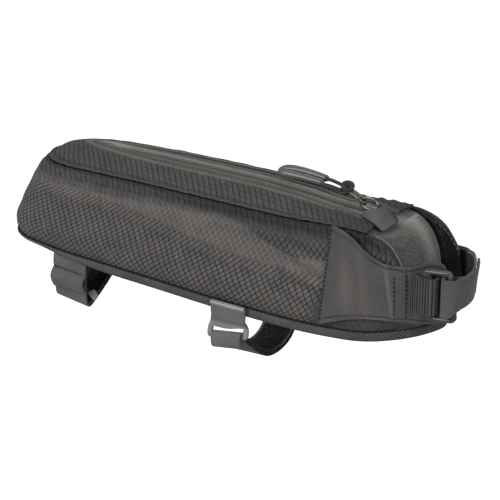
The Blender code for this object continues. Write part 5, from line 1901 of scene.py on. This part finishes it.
def zip_hood(rubber):
    """The smooth hood over the zip's front end."""
    def place(u, v):
        row = mix_rows(HOOD_ROWS, u)
        share = 2 * v - 1
        # Its near corner reaches back beside the slider, and its corners are rounded in plan.
        corner = 0.0008 * (abs(share) ** 8) * (1 if u < 0.5 else -1) * abs(2 * u - 1) ** 4
        back = 0.0050 * ease(0.1, 1.0, -share) * (1 - u)
        x, y = row.x + corner - back, row.middle + row.side * (share * (1.12 if share < 0 else 0.8))
        edge = front_x(1.0)
        ground = top_z(min(x, edge), y) - HOOD_FALL * max(x - edge, 0.0) + 2 * GAP + 0.001
        return Vector((x, y, ground + row.rise * (1 - share**4)))

    def shade(u, v):
        return 0.75 * ease(0.62, 0.95, v)

    hood = grid_piece("zip_hood", 48, 60, place, {"shade": shade})
    give_walls(hood, 1.0 * MM)
    round_edges(hood, 0.35 * MM, 3, 50)
    dress(hood, "coated_film", [rubber], "zip_garage")


def seam_trims():
    """Stitches beside the zip, on both sides."""
    for name, side in (("near_zip_stitches", -1), ("far_zip_stitches", 1)):
        path = [top_point(0.5 + side * (0.03 + 0.95 * k / 180) / 2, 0.965, 0.0002) for k in range(181)]
        spots = run_spots(path, 0.0030, Vector((0, 0, 1)))
        stitch_row(name, spots, 0.00024, 0.0021, PALE_STITCH, "diamond_ripstop")


DARK_STITCH = stitch_finish("dark_stitch", 0.022)
PALE_STITCH = stitch_finish("pale_stitch", 0.16)

camera_and_light()
ripstop = ripstop_finish()
plain = wing_finish("plain_ripstop_cloth")
lining = wing_finish("black_lining", 0.45)
tape = twill_finish("twill_tape", warm(0.075, TAPE_TINT), warm(0.115, TAPE_TINT))
floor_cloth = twill_finish("floor_cloth", warm(0.03), warm(0.045), 1.2)
ribbed = strap_finish("ribbed_webbing", warm(0.075), warm(0.12), 0.6, 0.55)
satin = strap_finish("satin_webbing", warm(0.075, SATIN_TINT), warm(0.105, SATIN_TINT), 0.7, 0.5)
loop_face = strap_finish("loop_face", warm(0.088, LOOP_TINT), warm(0.122, LOOP_TINT), 0.4, 0.75)
front_loop = strap_finish("front_loop_face", warm(0.12, LOOP_TINT), warm(0.17, LOOP_TINT), 0.4, 0.7)
hooks = hook_face_finish()
film = film_finish()
rubber = hood_finish()
brushed = brushed_finish()
black_gloss = moulded_finish("black_gloss", (0.045, 0.045, 0.046), (0.065, 0.065, 0.065), 0.18)
grip_plastic = moulded_finish("grip_plastic", (0.080, 0.078, 0.073), (0.110, 0.106, 0.100), 0.3)
grey_moulded = moulded_finish("grey_moulded", (0.175, 0.173, 0.163), (0.235, 0.232, 0.218), 0.3)
hook_plastic = moulded_finish("hook_plastic", (0.20, 0.198, 0.187), (0.27, 0.266, 0.25), 0.25, painted_shade_heights=(-0.0075, 0.0046))
metal = gunmetal_finish()
braid = braid_finish()

body_wall(ripstop)
top_panel(ripstop)
zip_film("film_near", -1, film, "zip_tape_near")
zip_film("film_far", 1, film, "zip_tape_far")
base_plate(floor_cloth)
base_binding(tape)
front_pad(brushed)
wings(plain, lining)
wing_corner(plain)
strap_buckle(black_gloss)
wing_webbing(ribbed)
steerer_strap(satin, hooks)
tail_strap(loop_face, hooks, grey_moulded)
frame_hook(hook_plastic)
front_strap(front_loop, hooks)
zip_slider(metal)
puller(metal, grip_plastic, braid)
zip_hood(rubber)
seam_trims()
